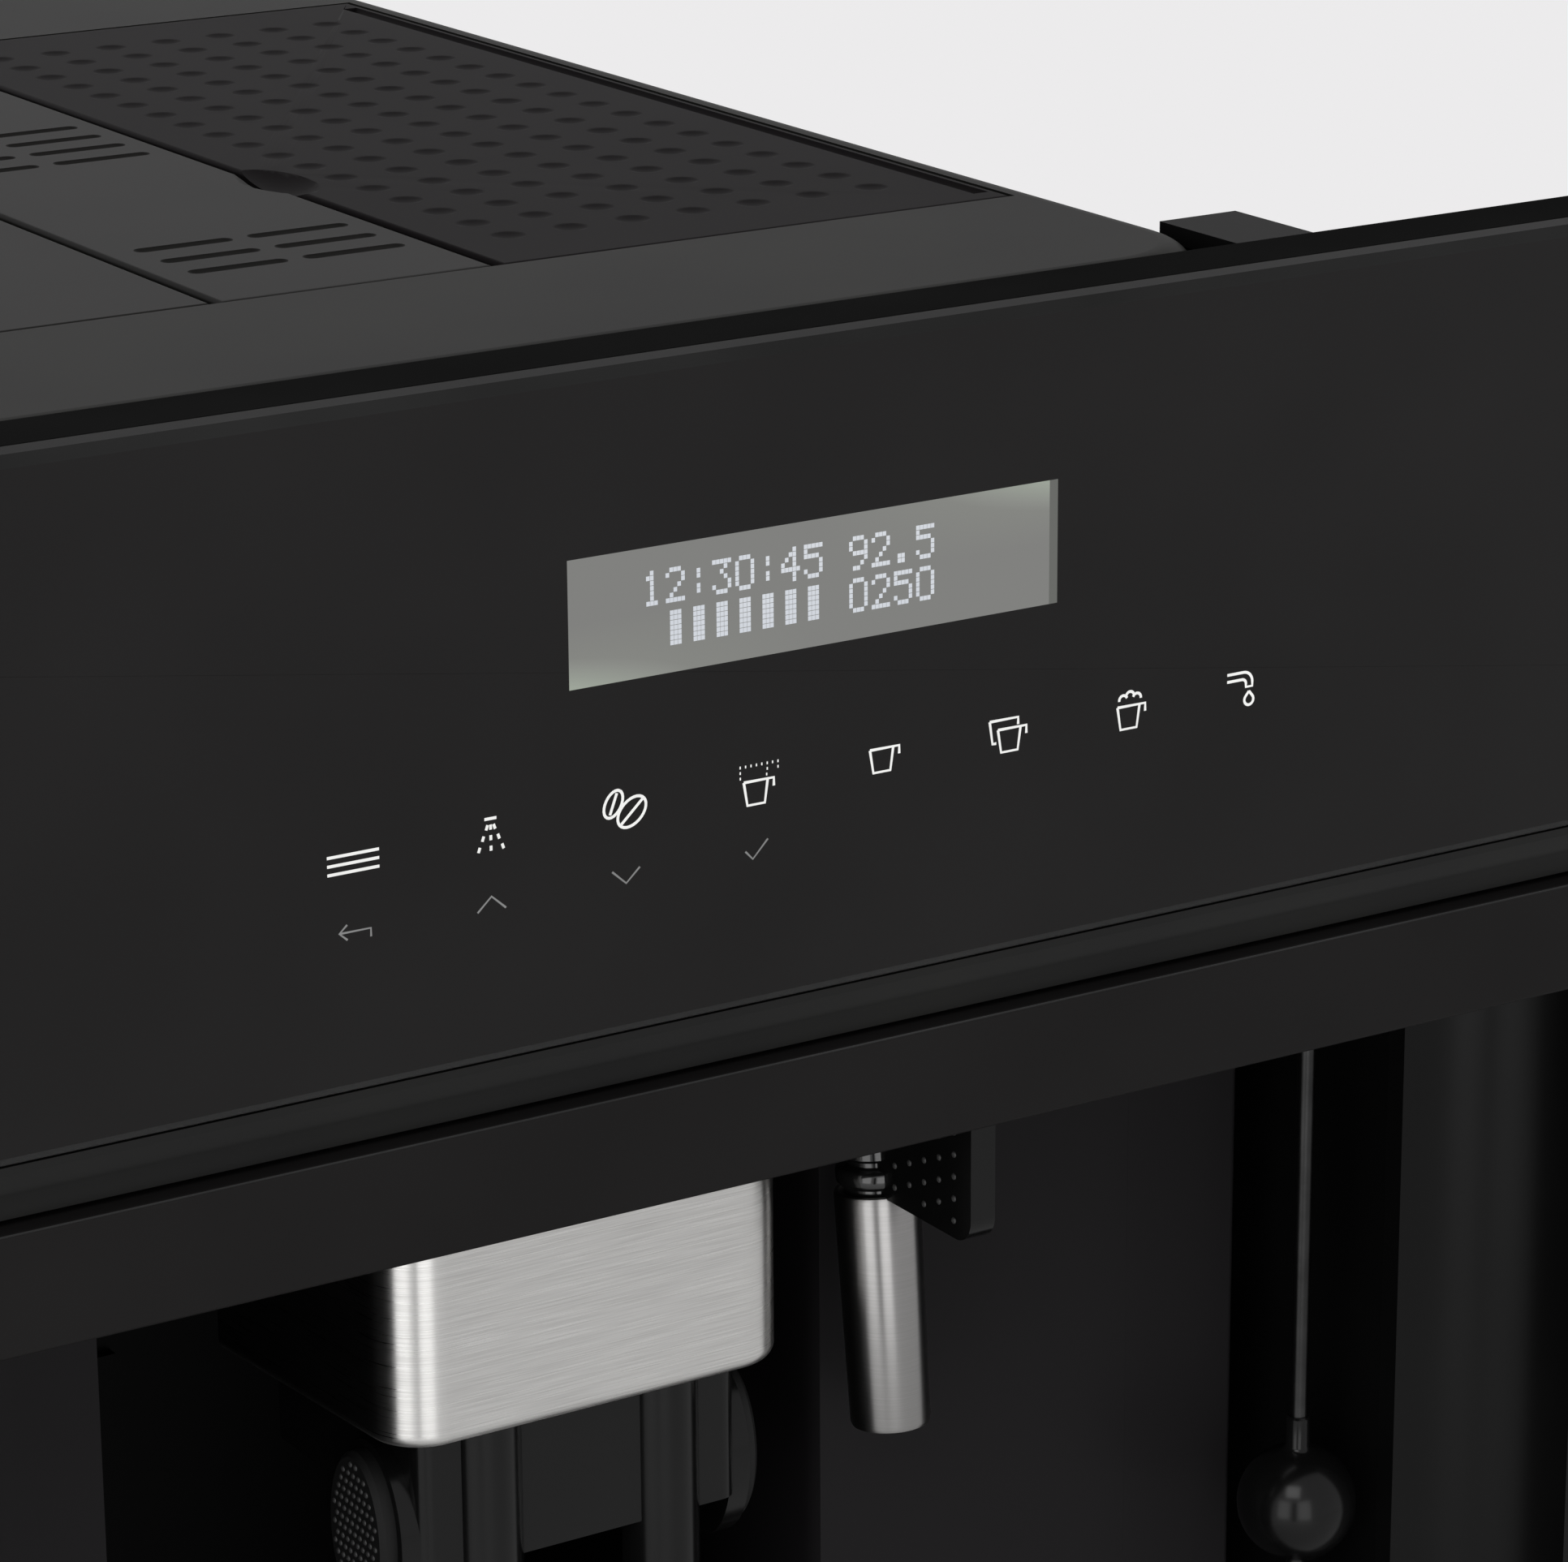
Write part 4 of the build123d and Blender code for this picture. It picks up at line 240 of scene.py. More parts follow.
finishes = {
    blackGlass: ["control_glass"],
    housingPlastic: ["panel_housing"],
    trimPlastic: ["trim_profile"],
    fasciaPaint: ["lower_fascia"],
    framePaint: ["front_frame"],
    casingPlastic: ["top_cover", "side_panel_right", "side_panel_left", "rear_panel", "service_door"],
    # the ducts' colour is darkened as painted shade
    ductDarkenedPlastic: ["side_duct_right", "side_duct_left"],
    # these take the niche material and its painted shade
    nicheShadedPlastic: ["front_moulding", "drip_tray", "grounds_container"],
    lidPlastic: ["bean_lid", "tank_lid", "vent_strip", "grind_knob"],
    innerPlastic: ["spout_body", "spout_nozzles", "spout_tower", "wand_pivot", "wand_fin", "release_knob",
                   "switch_rocker", "switch_frame", "power_inlet", "tank_seat"],
    glassFilled: ["grinder", "pump", "brew_unit", "brew_piston"],
    softRubber: ["spout_grips", "pump_mounts"],
    whiteTube: ["steam_pipe", "coffee_pipe", "hoses"],
    redPlastic: ["tray_float"],
    boardGreen: ["panel_boards", "power_board"],
    neckPlastic: ["wand_neck"],
    spoutSteel: ["spout_cover"],
    sleeveSteel: ["wand_sleeve"],
    gridSteel: ["drip_grid"],
    zincSheet: ["runner_base", "outer_rail_right", "outer_rail_left", "middle_rail_right", "middle_rail_left",
                "inner_rail_right", "inner_rail_left", "chassis", "display_module"],
    platedRod: ["release_rod"],
    castAluminium: ["thermoblock"],
    burrSteel: ["upper_burr", "lower_burr"],
    smokedStyrene: ["water_tank", "bean_hopper"],
}
for material, names in finishes.items():
    for name in names:
        mesh = nodes[name].data
        mesh.materials.clear()
        mesh.materials.append(material)
print("finishes on the frame")


# how the new pieces are made
def clearChoice():
    if bpy.context.mode != "OBJECT":
        bpy.ops.object.mode_set(mode="OBJECT")
    bpy.ops.object.select_all(action="DESELECT")


def chooseEdges(piece, wanted):
    # opens the piece for editing with the edges whose two ends pass the test
    clearChoice()
    piece.select_set(True)
    bpy.context.view_layer.objects.active = piece
    bpy.context.tool_settings.mesh_select_mode = (False, True, False)
    mesh = piece.data
    for face in mesh.polygons:
        face.select = False
    for point in mesh.vertices:
        point.select = False
    for edge in mesh.edges:
        edge.select = wanted(mesh.vertices[edge.vertices[0]].co, mesh.vertices[edge.vertices[1]].co)
    bpy.ops.object.mode_set(mode="EDIT")


def applyPlace(piece):
    clearChoice()
    piece.select_set(True)
    bpy.context.view_layer.objects.active = piece
    bpy.ops.object.transform_apply(location=True, rotation=True, scale=True)


def box(x, y, z):
    # a block between places in mm
    clearChoice()
    bpy.ops.mesh.primitive_cube_add(
        size=mm, location=[(a + b) / 2 * mm for a, b in (x, y, z)], scale=[b - a for a, b in (x, y, z)],
    )
    piece = bpy.context.object
    applyPlace(piece)
    return piece


def copyOfNode(name, node, flatten=False):
    # a new piece with the node's shape, its loose triangles merged
    clearChoice()
    piece = bpy.data.objects.new(name, nodes[node].data.copy())
    bpy.context.scene.collection.objects.link(piece)
    chooseEdges(piece, lambda a, b: True)
    bpy.ops.mesh.select_all(action="SELECT")
    bpy.ops.mesh.remove_doubles(threshold=weld)
    if flatten:
        bpy.ops.mesh.dissolve_limited(angle_limit=math.radians(1))
    clearChoice()
    piece.data.materials.clear()
    return piece


def repeat(tool, count, step):
    spread = tool.modifiers.new("repeat", "ARRAY")
    spread.use_relative_offset = False
    spread.use_constant_offset = True
    spread.constant_offset_displace = step
    spread.count = count


def cutAway(piece, tools):
    for tool in tools:
        cut = piece.modifiers.new("cut", "BOOLEAN")
        cut.operation = "DIFFERENCE"
        cut.solver = "EXACT"
        cut.object = tool


def copyTo(piece, places):
    # what the piece holds goes to the first place and is copied on to the others
    chooseEdges(piece, lambda a, b: True)
    bpy.ops.mesh.select_all(action="SELECT")
    bpy.ops.transform.translate(value=places[0])
    for before, place in zip(places, places[1:]):
        bpy.ops.mesh.duplicate()
        bpy.ops.transform.translate(value=place - before)


def turnedPiece(profile, steps=48):
    # a line of (radius, height) points drawn out from one point and spun about Z
    clearChoice()
    bpy.ops.mesh.primitive_plane_add(size=mm, location=(0, 0, 0))
    piece = bpy.context.object
    bpy.context.tool_settings.mesh_select_mode = (True, False, False)
    bpy.ops.object.mode_set(mode="EDIT")
    bpy.ops.mesh.select_all(action="SELECT")
    bpy.ops.mesh.merge(type="CENTER")
    bpy.ops.transform.translate(value=(profile[0][0] * mm, 0, profile[0][1] * mm))
    for (r0, z0), (r1, z1) in zip(profile, profile[1:]):
        bpy.ops.mesh.extrude_region_move(TRANSFORM_OT_translate={"value": ((r1 - r0) * mm, 0, (z1 - z0) * mm)})
    bpy.ops.mesh.select_all(action="SELECT")
    bpy.ops.mesh.spin(steps=steps, angle=math.tau, center=(0, 0, 0), axis=(0, 0, 1))
    bpy.ops.mesh.select_all(action="SELECT")
    bpy.ops.mesh.remove_doubles(threshold=0.001 * mm)
    bpy.ops.mesh.normals_make_consistent(inside=False)
    clearChoice()
    return piece


def settle(piece, name, material, body, instead=(), angle=30, keepFlats=False):
    # place and modifiers go into the mesh, then the piece joins its body
    applyPlace(piece)
    for modifier in list(piece.modifiers):
        bpy.ops.object.modifier_apply(modifier=modifier.name)
    bpy.ops.object.shade_smooth_by_angle(angle=math.radians(angle))
    if keepFlats:
        # large faces keep their own direction, small ones blend into them
        flats = piece.modifiers.new("flats", "WEIGHTED_NORMAL")
        flats.keep_sharp = True
        flats.weight = 100
        bpy.ops.object.modifier_apply(modifier=flats.name)
    piece.name = name
    if not piece.data.materials:
        piece.data.materials.append(material)
    if instead:
        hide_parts(*instead)
    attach(piece, body)
    clearChoice()


# control panel
glass = {"x": (-297.5, 297.5), "y": (-205.94, -200.0), "z": (360.6, 455.0),
         "corner": 1.5, "groundEdge": 1.5, "backEdge": 0.5}
panelGlass = box(glass["x"], glass["y"], glass["z"])
chooseEdges(panelGlass, lambda a, b: abs(a.y - b.y) > mm)
bpy.ops.mesh.bevel(offset=glass["corner"] * mm, segments=4)
for faceY, width in zip(glass["y"], (glass["groundEdge"], glass["backEdge"])):
    chooseEdges(panelGlass, lambda a, b: max(abs(a.y - faceY * mm), abs(b.y - faceY * mm)) < 1e-6)
    bpy.ops.mesh.bevel(offset=width * mm, segments=1)
clearChoice()
for material in (blackGlass, groundGlass, polishedEdgeHighlight):
    panelGlass.data.materials.append(material)
for face in panelGlass.data.polygons:
    # faces looking down and forward: the polished chamfer, painted paler as a highlight
    under = face.normal.z < -0.5 and face.normal.y < -0.5
    face.material_index = 0 if abs(face.normal.y) > 0.99 else 2 if under else 1
settle(panelGlass, "panelGlass", blackGlass, "machine", ["control_glass"], angle=20)


def litSurface(name, colour, strength):
    # light coming through a print: even, with a little unevenness from the light guide
    material, tree, surface = newMaterial(name)
    place = addNode(tree, "ShaderNodeTexCoord").outputs["Object"]
    cloud = addNode(tree, "ShaderNodeTexNoise", {"Vector": place}, {"Scale": 1 / (12 * mm), "Detail": 1.0})
    tint = addNode(tree, "ShaderNodeValToRGB", {"Fac": cloud.outputs["Fac"]})
    ramp(tint, [(0.3, colour[0]), (0.7, colour[1])])
    tree.links.new(tint.outputs["Color"], surface.inputs["Emission Color"])
    surface.inputs["Emission Strength"].default_value = strength
    surface.inputs["Base Color"].default_value = linear("#101010")
    surface.inputs["Roughness"].default_value = 0.3
    surface.inputs["Specular IOR Level"].default_value = 0.2
    return material


display = {"width": 80.0, "height": 18.1, "middle": 420.5, "y": -205.965, "rim": 0.25, "sunk": 0.01,
           "strip": 38.6}
# brighter and greener from the lower left and the upper right, where the lamps of the backlight sit,
# with painted shade: a darker strip down the right edge, where the window's rim shades the display
lcdMaterial, lcdTree, lcdSurface = newMaterial("liquid crystal, grey-green backlight, painted edge shade")
lcdPlace = addNode(lcdTree, "ShaderNodeTexCoord").outputs["Object"]
lcdParts = addNode(lcdTree, "ShaderNodeSeparateXYZ", {"Vector": lcdPlace})
spans = []
for axis, middle, size in (("X", 0.0, display["width"]), ("Z", display["middle"], display["height"])):
    spans.append(addNode(
        lcdTree, "ShaderNodeMapRange", {"Value": lcdParts.outputs[axis]},
        {"From Min": (middle - size / 2) * mm, "From Max": (middle + size / 2) * mm, "To Min": -1.0, "To Max": 1.0},
    ))
corner = addNode(lcdTree, "ShaderNodeMath", {0: spans[0].outputs[0], 1: spans[1].outputs[0]}, operation="MULTIPLY")
glow = addNode(lcdTree, "ShaderNodeValToRGB", {"Fac": corner.outputs[0]})
ramp(glow, [(0.0, "#7e7e7c"), (0.5, "#838480"), (0.62, "#8b8d88"), (1.0, "#a0a89c")])
# painted shade: past this X the display takes a darker colour
strip = addNode(lcdTree, "ShaderNodeMath", {0: lcdParts.outputs["X"]}, {1: display["strip"] * mm},
                operation="GREATER_THAN")
lcdGlowWithEdgeShade = addNode(lcdTree, "ShaderNodeMix", {"Factor": strip.outputs[0], 6: glow.outputs["Color"]},
                  {7: linear("#646562")}, data_type="RGBA")
lcdTree.links.new(lcdGlowWithEdgeShade.outputs[2], lcdSurface.inputs["Emission Color"])
lcdSurface.inputs["Emission Strength"].default_value = 0.93
lcdSurface.inputs["Base Color"].default_value = linear("#1c1d1b")
lcdSurface.inputs["Roughness"].default_value = 0.35
lcdSurface.inputs["Specular IOR Level"].default_value = 0.15

clearChoice()
bpy.ops.mesh.primitive_plane_add(
    size=mm, location=(0, display["y"] * mm, display["middle"] * mm), rotation=(math.radians(90), 0, 0),
)
displayWindow = bpy.context.object
displayWindow.scale = (display["width"], display["height"], 1)
applyPlace(displayWindow)
chooseEdges(displayWindow, lambda a, b: True)
bpy.ops.mesh.select_all(action="SELECT")
bpy.ops.mesh.inset(thickness=display["rim"] * mm, depth=-display["sunk"] * mm)
settle(displayWindow, "displayWindow", lcdMaterial, "machine")

# the characters: five dots wide and seven high, only numbers and level bars
dotRows = {
    "0": "01110 10001 10001 10001 10001 10001 01110",
    "1": "00100 01100 00100 00100 00100 00100 01110",
    "2": "01110 10001 00001 00010 00100 01000 11111",
    "3": "11111 00010 00100 00010 00001 10001 01110",
    "4": "00010 00110 01010 10010 11111 00010 00010",
    "5": "11111 10000 11110 00001 00001 10001 01110",
    "9": "01110 10001 10001 01111 00001 00010 01100",
    ":": "00000 00100 00100 00000 00100 00100 00000",
    ".": "00000 00000 00000 00000 00000 01100 01100",
    "|": "01110 01110 01110 01110 01110 01110 01110",
}
characters = {"pitch": 3.697, "dotPitchX": 0.616, "dotPitchZ": 0.71, "dotWidth": 0.57, "dotHeight": 0.64,
              "y": -205.985, "lines": [("12:30:45 92.5", -28.4, 426.25), ("||||||| 0250", -24.7, 420.22)]}
# cold white points, each lit evenly
dotGlow = litSurface("liquid crystal dots, pale", ("#d0d5dd", "#d9dde3"), 0.95)
dotPlaces = []
for text, left, top in characters["lines"]:
    for column, letter in enumerate(text):
        for down, row in enumerate(dotRows.get(letter, "").split()):
            for across, lit in enumerate(row):
                if lit == "1":
                    x = left + column * characters["pitch"] + (across + 0.5) * characters["dotPitchX"]
                    z = top - (down + 0.5) * characters["dotPitchZ"]
                    dotPlaces.append(Vector((x, characters["y"], z)) * mm)
clearChoice()
bpy.ops.mesh.primitive_plane_add(size=mm, location=(0, 0, 0), rotation=(math.radians(90), 0, 0))
displayDots = bpy.context.object
displayDots.scale = (characters["dotWidth"], characters["dotHeight"], 1)
applyPlace(displayDots)
copyTo(displayDots, dotPlaces)
settle(displayDots, "displayDots", dotGlow, "machine")
print("display:", len(dotPlaces), "dots")

# key symbols, each drawn as strokes about its own middle and then scaled
symbols = {"thickness": 0.43, "thin": 0.3, "dot": 0.4, "dotHalf": 0.1, "flat": 0.06, "y": -205.985,
           "upper": 393.2, "lower": 383.6, "scale": 0.71}


def arc(x, z, radius, start, end, steps=10, tall=1.0, turn=0.0):
    points = []
    for step in range(steps + 1):
        angle = math.radians(start + (end - start) * step / steps)
        u, v = radius * math.cos(angle), radius * tall * math.sin(angle)
        lean = math.radians(turn)
        points.append((x + u * math.cos(lean) - v * math.sin(lean), z + u * math.sin(lean) + v * math.cos(lean)))
    return points


def cup(x, z):
    # tapering cup, its rim running on into the handle
    return [[(x - 2.9, z + 2.3), (x - 2.1, z - 2.5), (x + 1.9, z - 2.5), (x + 2.6, z + 2.3)],
            [(x - 2.9, z + 2.3), (x + 4.0, z + 2.3), (x + 4.0, z + 0.6)]]


upperStrokes = {
    -73.5: [[(-5.5, v), (5.5, v)] for v in (-1.7, 0, 1.7)],
    -52.6: [[(-1.3, 3.4), (1.3, 3.4)]] + [
        [(lean * (0.4 + 0.55 * row), 2.2 - 2.1 * row), (lean * (0.62 + 0.55 * row), 1.2 - 2.1 * row)]
        for row in range(3) for lean in (-1.6, 0, 1.6)],
    -31.6: [arc(-2.6, 1.5, 2.9, 0, 360, 24, 0.62, 60), [(-3.4, -0.6), (-1.8, 3.6)],
            arc(1.5, -0.7, 3.6, 0, 360, 28, 0.68, 40), [(-0.9, -2.9), (3.9, 1.5)]],
    -10.2: cup(-0.4, -1.6),
    10.6: cup(-0.4, 0.0),
    31.5: [[(-4.2, 3.4), (-3.5, -1.3), (-2.6, -1.3)], [(-4.2, 3.4), (2.7, 3.4), (2.7, 1.9)]] + cup(0.7, -0.9),
    53.1: cup(-0.4, -1.1) + [
        arc(-1.9, 2.6, 1.0, 190, 20, 8), arc(-0.2, 3.2, 1.0, 160, 20, 8), arc(1.5, 2.6, 1.0, 160, -10, 8)],
    72.9: [[(-3.6, 3.6), (0.6, 3.6)] + arc(0.6, 1.4, 2.2, 90, 0, 8) + [(2.8, 0.4), (1.2, 0.4)]
           + arc(0.2, 1.1, 1.0, 0, 90, 6) + [(-3.6, 2.1)],
           [(2.0, -0.6)] + arc(2.0, -2.4, 1.15, 40, -220, 14) + [(2.0, -0.6)]],
}
dottedOutline = [(-2.9 + 0.88 * step, 2.75) for step in range(8)]
dottedOutline += [(-2.9, 1.95), (-2.9, 1.15), (1.5, 1.95), (1.4, 1.15), (3.26, 1.95)]
lowerStrokes = {
    -73.5: [[(-3.4, 0), (3.3, 0), (3.3, -1.7)], [(-1.7, 1.5), (-3.4, 0), (-1.7, -1.5)]],
    -52.7: [[(-3.1, -1.4), (0, 1.4), (3.1, -1.4)]],
    -31.6: [[(-3.1, 1.4), (0, -1.4), (3.1, 1.4)]],
    -10.6: [[(-2.5, 0.1), (-0.8, -1.7), (2.7, 1.9)]],
}


def drawSymbols(name, groups, height, material, thickness, scale=symbols["scale"]):
    curve = bpy.data.curves.new(name, "CURVE")
    curve.dimensions = "3D"
    curve.bevel_depth = thickness / 2 * mm
    curve.bevel_resolution = 2
    curve.use_fill_caps = True
    for middle, strokes in groups.items():
        for points in strokes:
            spline = curve.splines.new("POLY")
            spline.points.add(len(points) - 1)
            for point, (x, z) in zip(spline.points, points):
                point.co = ((middle + x * scale) * mm, 0, (height + z * scale) * mm, 1)
    piece = bpy.data.objects.new(name, curve)
    bpy.context.scene.collection.objects.link(piece)
    clearChoice()
    piece.select_set(True)
    bpy.context.view_layer.objects.active = piece
    bpy.ops.object.convert(target="MESH")
    piece = bpy.context.object
    piece.scale.y = symbols["flat"]
    piece.location.y = symbols["y"] * mm
    settle(piece, name, material, "machine", angle=60)


# clean white strokes for the keys in use, mid grey for the resting ones
whiteGlow = litSurface("key print, lit white", ("#ececea", "#f4f4f2"), 1.0)
greyGlow = litSurface("key print, dimmed grey", ("#7c7c7c", "#848484"), 1.0)
dots = [[(x - symbols["dotHalf"], z), (x + symbols["dotHalf"], z)] for x, z in dottedOutline]
drawSymbols("keySymbols", upperStrokes, symbols["upper"], whiteGlow, symbols["thickness"])
drawSymbols("menuSymbols", lowerStrokes, symbols["lower"], greyGlow, symbols["thin"])
drawSymbols("dottedCup", {-10.2: dots}, symbols["upper"], whiteGlow, symbols["dot"], 1.0)
print("control panel made")

# bean lid with dimples, each the foot of a ball
lid = {"top": 442.8, "dimpleRadius": 3.1, "dimpleDepth": 0.45, "firstX": 27.2, "firstY": -72.0,
       "pitchX": 11.45, "pitchY": 11.3, "columns": 7, "rows": 18, "above": 0.3}
groove = {"x": 108.3, "y": 24.0, "length": 220.0, "radius": 1.5, "above": 0.35}
dimpledLid = copyOfNode("dimpledLid", "bean_lid")
ball = (lid["dimpleRadius"] ** 2 + lid["dimpleDepth"] ** 2) / (2 * lid["dimpleDepth"])
bpy.ops.mesh.primitive_uv_sphere_add(
    segments=20, ring_count=40, radius=ball * mm,
    location=(lid["firstX"] * mm, lid["firstY"] * mm, (lid["top"] - lid["dimpleDepth"] + ball) * mm),
)
dimpleTool = bpy.context.object
applyPlace(dimpleTool)
chooseEdges(dimpleTool, lambda a, b: True)
bpy.ops.mesh.select_all(action="SELECT")
bpy.ops.mesh.bisect(
    plane_co=(0, 0, (lid["top"] + lid["above"]) * mm), plane_no=(0, 0, 1), use_fill=True, clear_outer=True,
)
clearChoice()
repeat(dimpleTool, lid["columns"], (lid["pitchX"] * mm, 0, 0))
repeat(dimpleTool, lid["rows"], (0, lid["pitchY"] * mm, 0))
bpy.ops.mesh.primitive_cylinder_add(
    vertices=24, radius=groove["radius"] * mm, depth=groove["length"] * mm, rotation=(math.radians(90), 0, 0),
    location=(groove["x"] * mm, groove["y"] * mm, (lid["top"] + groove["above"]) * mm),
)
grooveTool = bpy.context.object
applyPlace(grooveTool)
cutAway(dimpledLid, [dimpleTool, grooveTool])
settle(dimpledLid, "dimpledLid", beanPlastic, "bean_lid", ["bean_lid"], angle=40, keepFlats=True)
for tool in (dimpleTool, grooveTool):
    bpy.data.objects.remove(tool)
print("bean lid:", len(dimpledLid.data.polygons), "faces")

# strip with shallow troughs; their first rows are measured from the panel's front
ventStrip = {"x": (-33.0, 14.3), "y": (-90.6, 179.0), "z": (439.4, 442.8), "round": 0.8, "radius": 2.1, "depth": 0.8,
             "panelFront": -206.0, "columns": ((-28.1, -10.0), (-8.2, 10.6)), "rows": ((137.0, 3), (228.0, 4)),
             "pitch": 9.5}
stripTop = ventStrip["z"][1]
troughStrip = box(ventStrip["x"], ventStrip["y"], ventStrip["z"])
chooseEdges(troughStrip, lambda a, b: min(a.z, b.z) > (stripTop - 0.1) * mm)
bpy.ops.mesh.bevel(offset=ventStrip["round"] * mm, segments=3)
troughs = []
reach = ventStrip["radius"]
for left, rightEnd in ventStrip["columns"]:
    middle = (left + reach) * mm
    for first, count in ventStrip["rows"]:
        clearChoice()
        bpy.ops.mesh.primitive_uv_sphere_add(
            segments=24, ring_count=12, radius=reach * mm, rotation=(0, math.radians(90), 0),
            location=(middle, (first + ventStrip["panelFront"]) * mm, (stripTop - ventStrip["depth"] + reach) * mm),
        )
        trough = bpy.context.object
        applyPlace(trough)
        chooseEdges(trough, lambda a, b: min(a.x, b.x) > middle + 1e-6)
        bpy.ops.transform.translate(value=((rightEnd - left - 2 * reach) * mm, 0, 0))
        clearChoice()
        repeat(trough, count, (0, ventStrip["pitch"] * mm, 0))
        troughs.append(trough)
# finger hollow that the strip shares with the bean lid
dish = {"x": 16.6, "y": -12.6, "depth": 2.0, "half": 24.3, "rise": 7.12, "steps": 16}
across = dish["rise"] + dish["depth"]
bend = (dish["half"] ** 2 + across ** 2) / (2 * across)
dishProfile = []
for step in range(dish["steps"] + 1):
    along = -dish["half"] + 2 * dish["half"] * step / dish["steps"]
    dishProfile.append((math.sqrt(max(bend ** 2 - along ** 2, 0)) - bend + across, along))
dishTool = turnedPiece(dishProfile, 40)
dishTool.rotation_euler = (math.radians(-90), 0, 0)
dishTool.location = (dish["x"] * mm, dish["y"] * mm, (stripTop + dish["rise"]) * mm)
applyPlace(dishTool)
cutAway(troughStrip, troughs + [dishTool])
settle(troughStrip, "troughStrip", lidPlastic, "machine", ["vent_strip"], angle=40, keepFlats=True)
for tool in troughs + [dishTool]:
    bpy.data.objects.remove(tool)
print("vent strip:", len(troughStrip.data.polygons), "faces")

# hollowed profile under the glass, its foot drawn down and forward
trim = {"foot": 353.5, "longer": 1.0, "forward": 0.8, "frontFrom": -201.0}
hollowTrim = copyOfNode("hollowTrim", "trim_profile", flatten=True)
chooseEdges(hollowTrim, lambda a, b: max(a.z, b.z) < (trim["foot"] + 0.1) * mm)
bpy.ops.transform.translate(value=(0, 0, -trim["longer"] * mm))
chooseEdges(hollowTrim, lambda a, b: max(a.z, b.z) < trim["foot"] * mm and max(a.y, b.y) < trim["frontFrom"] * mm)
bpy.ops.transform.translate(value=(0, -trim["forward"] * mm, 0))
settle(hollowTrim, "hollowTrim", trimPlastic, "machine", ["trim_profile"], angle=30)

# lower strip with its thin edge, which carries a painted highlight
fascia = {"y": -206.0, "top": 351.5, "round": 0.25}
edgedFascia = copyOfNode("edgedFascia", "lower_fascia", flatten=True)
chooseEdges(edgedFascia, lambda a, b: max(
    abs(end.y - fascia["y"] * mm) + abs(end.z - fascia["top"] * mm) for end in (a, b)) < 1e-5)
bpy.ops.mesh.bevel(offset=fascia["round"] * mm, segments=1)
clearChoice()
for material in (fasciaPaint, edgeHighlightPaint):
    edgedFascia.data.materials.append(material)
# the rounded front top edge takes the painted highlight
for face in edgedFascia.data.polygons:
    face.material_index = 1 if face.normal.y < -0.5 and face.normal.z > 0.5 else 0
settle(edgedFascia, "edgedFascia", fasciaPaint, "machine", ["lower_fascia"], angle=20)

# square cheek beside the niche, rounded on its outer front edge
cheek = {"x": (97.0, 119.0), "y": (-146.02, -124.5), "z": (113.0, 431.0), "round": 1.2}
squareCheek = box(cheek["x"], cheek["y"], cheek["z"])
outerX, frontY = (cheek["x"][1] - 1) * mm, (cheek["y"][0] + 1) * mm
chooseEdges(squareCheek, lambda a, b: min(a.x, b.x) > outerX and max(a.y, b.y) < frontY)
bpy.ops.mesh.bevel(offset=cheek["round"] * mm, segments=4)
# the cheek takes the niche material and its painted shade
settle(squareCheek, "squareCheek", nicheShadedPlastic, "machine", angle=40, keepFlats=True)

# release knob: a ball under a short collar, as (radius, height) from the ball's top
knob = {"x": 117.5, "y": -166.0, "top": 247.0, "ball": 9.8, "collar": 2.0, "collarHeight": 5.6, "steps": 24}
knobProfile = [(0.0, -2 * knob["ball"])]
for step in range(1, knob["steps"]):
    turnAngle = math.radians(-90 + 180 * step / knob["steps"])
    radius = knob["ball"] * math.cos(turnAngle)
    if turnAngle > 0 and radius < knob["collar"] + 0.3:
        break
    knobProfile.append((radius, knob["ball"] * (math.sin(turnAngle) - 1)))
knobProfile += [(knob["collar"] + 0.2, 0.1), (knob["collar"], 0.5), (knob["collar"], knob["collarHeight"] - 0.3),
                (knob["collar"] - 0.3, knob["collarHeight"]), (0.0, knob["collarHeight"])]
ballKnob = turnedPiece(knobProfile)
ballKnob.location = (knob["x"] * mm, knob["y"] * mm, knob["top"] * mm)
settle(ballKnob, "ballKnob", innerPlastic, "release", ["release_knob"], angle=40)

# steam wand: all profiles are (radius, distance down from the pivot)
wand = {"x": 41.5, "y": -152.6, "pivot": 345.0, "lean": 5.8, "sleeve": (39.3, 77.8), "radius": (6.75, 6.3),
        "bore": 5.75, "mouth": 3.9, "axleRadius": 2.5, "axle": (-13.0, 6.0), "axleBack": 3.0}


def onWand(piece):
    # the profile's heights run down the wand from its pivot
    piece.rotation_euler = (math.radians(180 - wand["lean"]), 0, 0)
    piece.location = (wand["x"] * mm, wand["y"] * mm, wand["pivot"] * mm)


topRadius, footRadius = wand["radius"]
start, end = wand["sleeve"]
sleeve = turnedPiece([
    (wand["bore"], start + 0.6), (wand["bore"] + 0.15, start + 0.1), (topRadius - 0.6, start),
    (topRadius - 0.15, start + 0.2), (topRadius, start + 0.7),
    (footRadius, end - 0.9), (footRadius - 0.25, end - 0.3), (footRadius - 0.9, end),
    (wand["mouth"] + 0.3, end), (wand["mouth"], end - 0.3), (wand["mouth"], end - 6),
    (wand["bore"], end - 6), (wand["bore"], start + 0.6),
], 64)
onWand(sleeve)
settle(sleeve, "turnedSleeve", sleeveSteel, "wand", ["wand_sleeve"], angle=40)
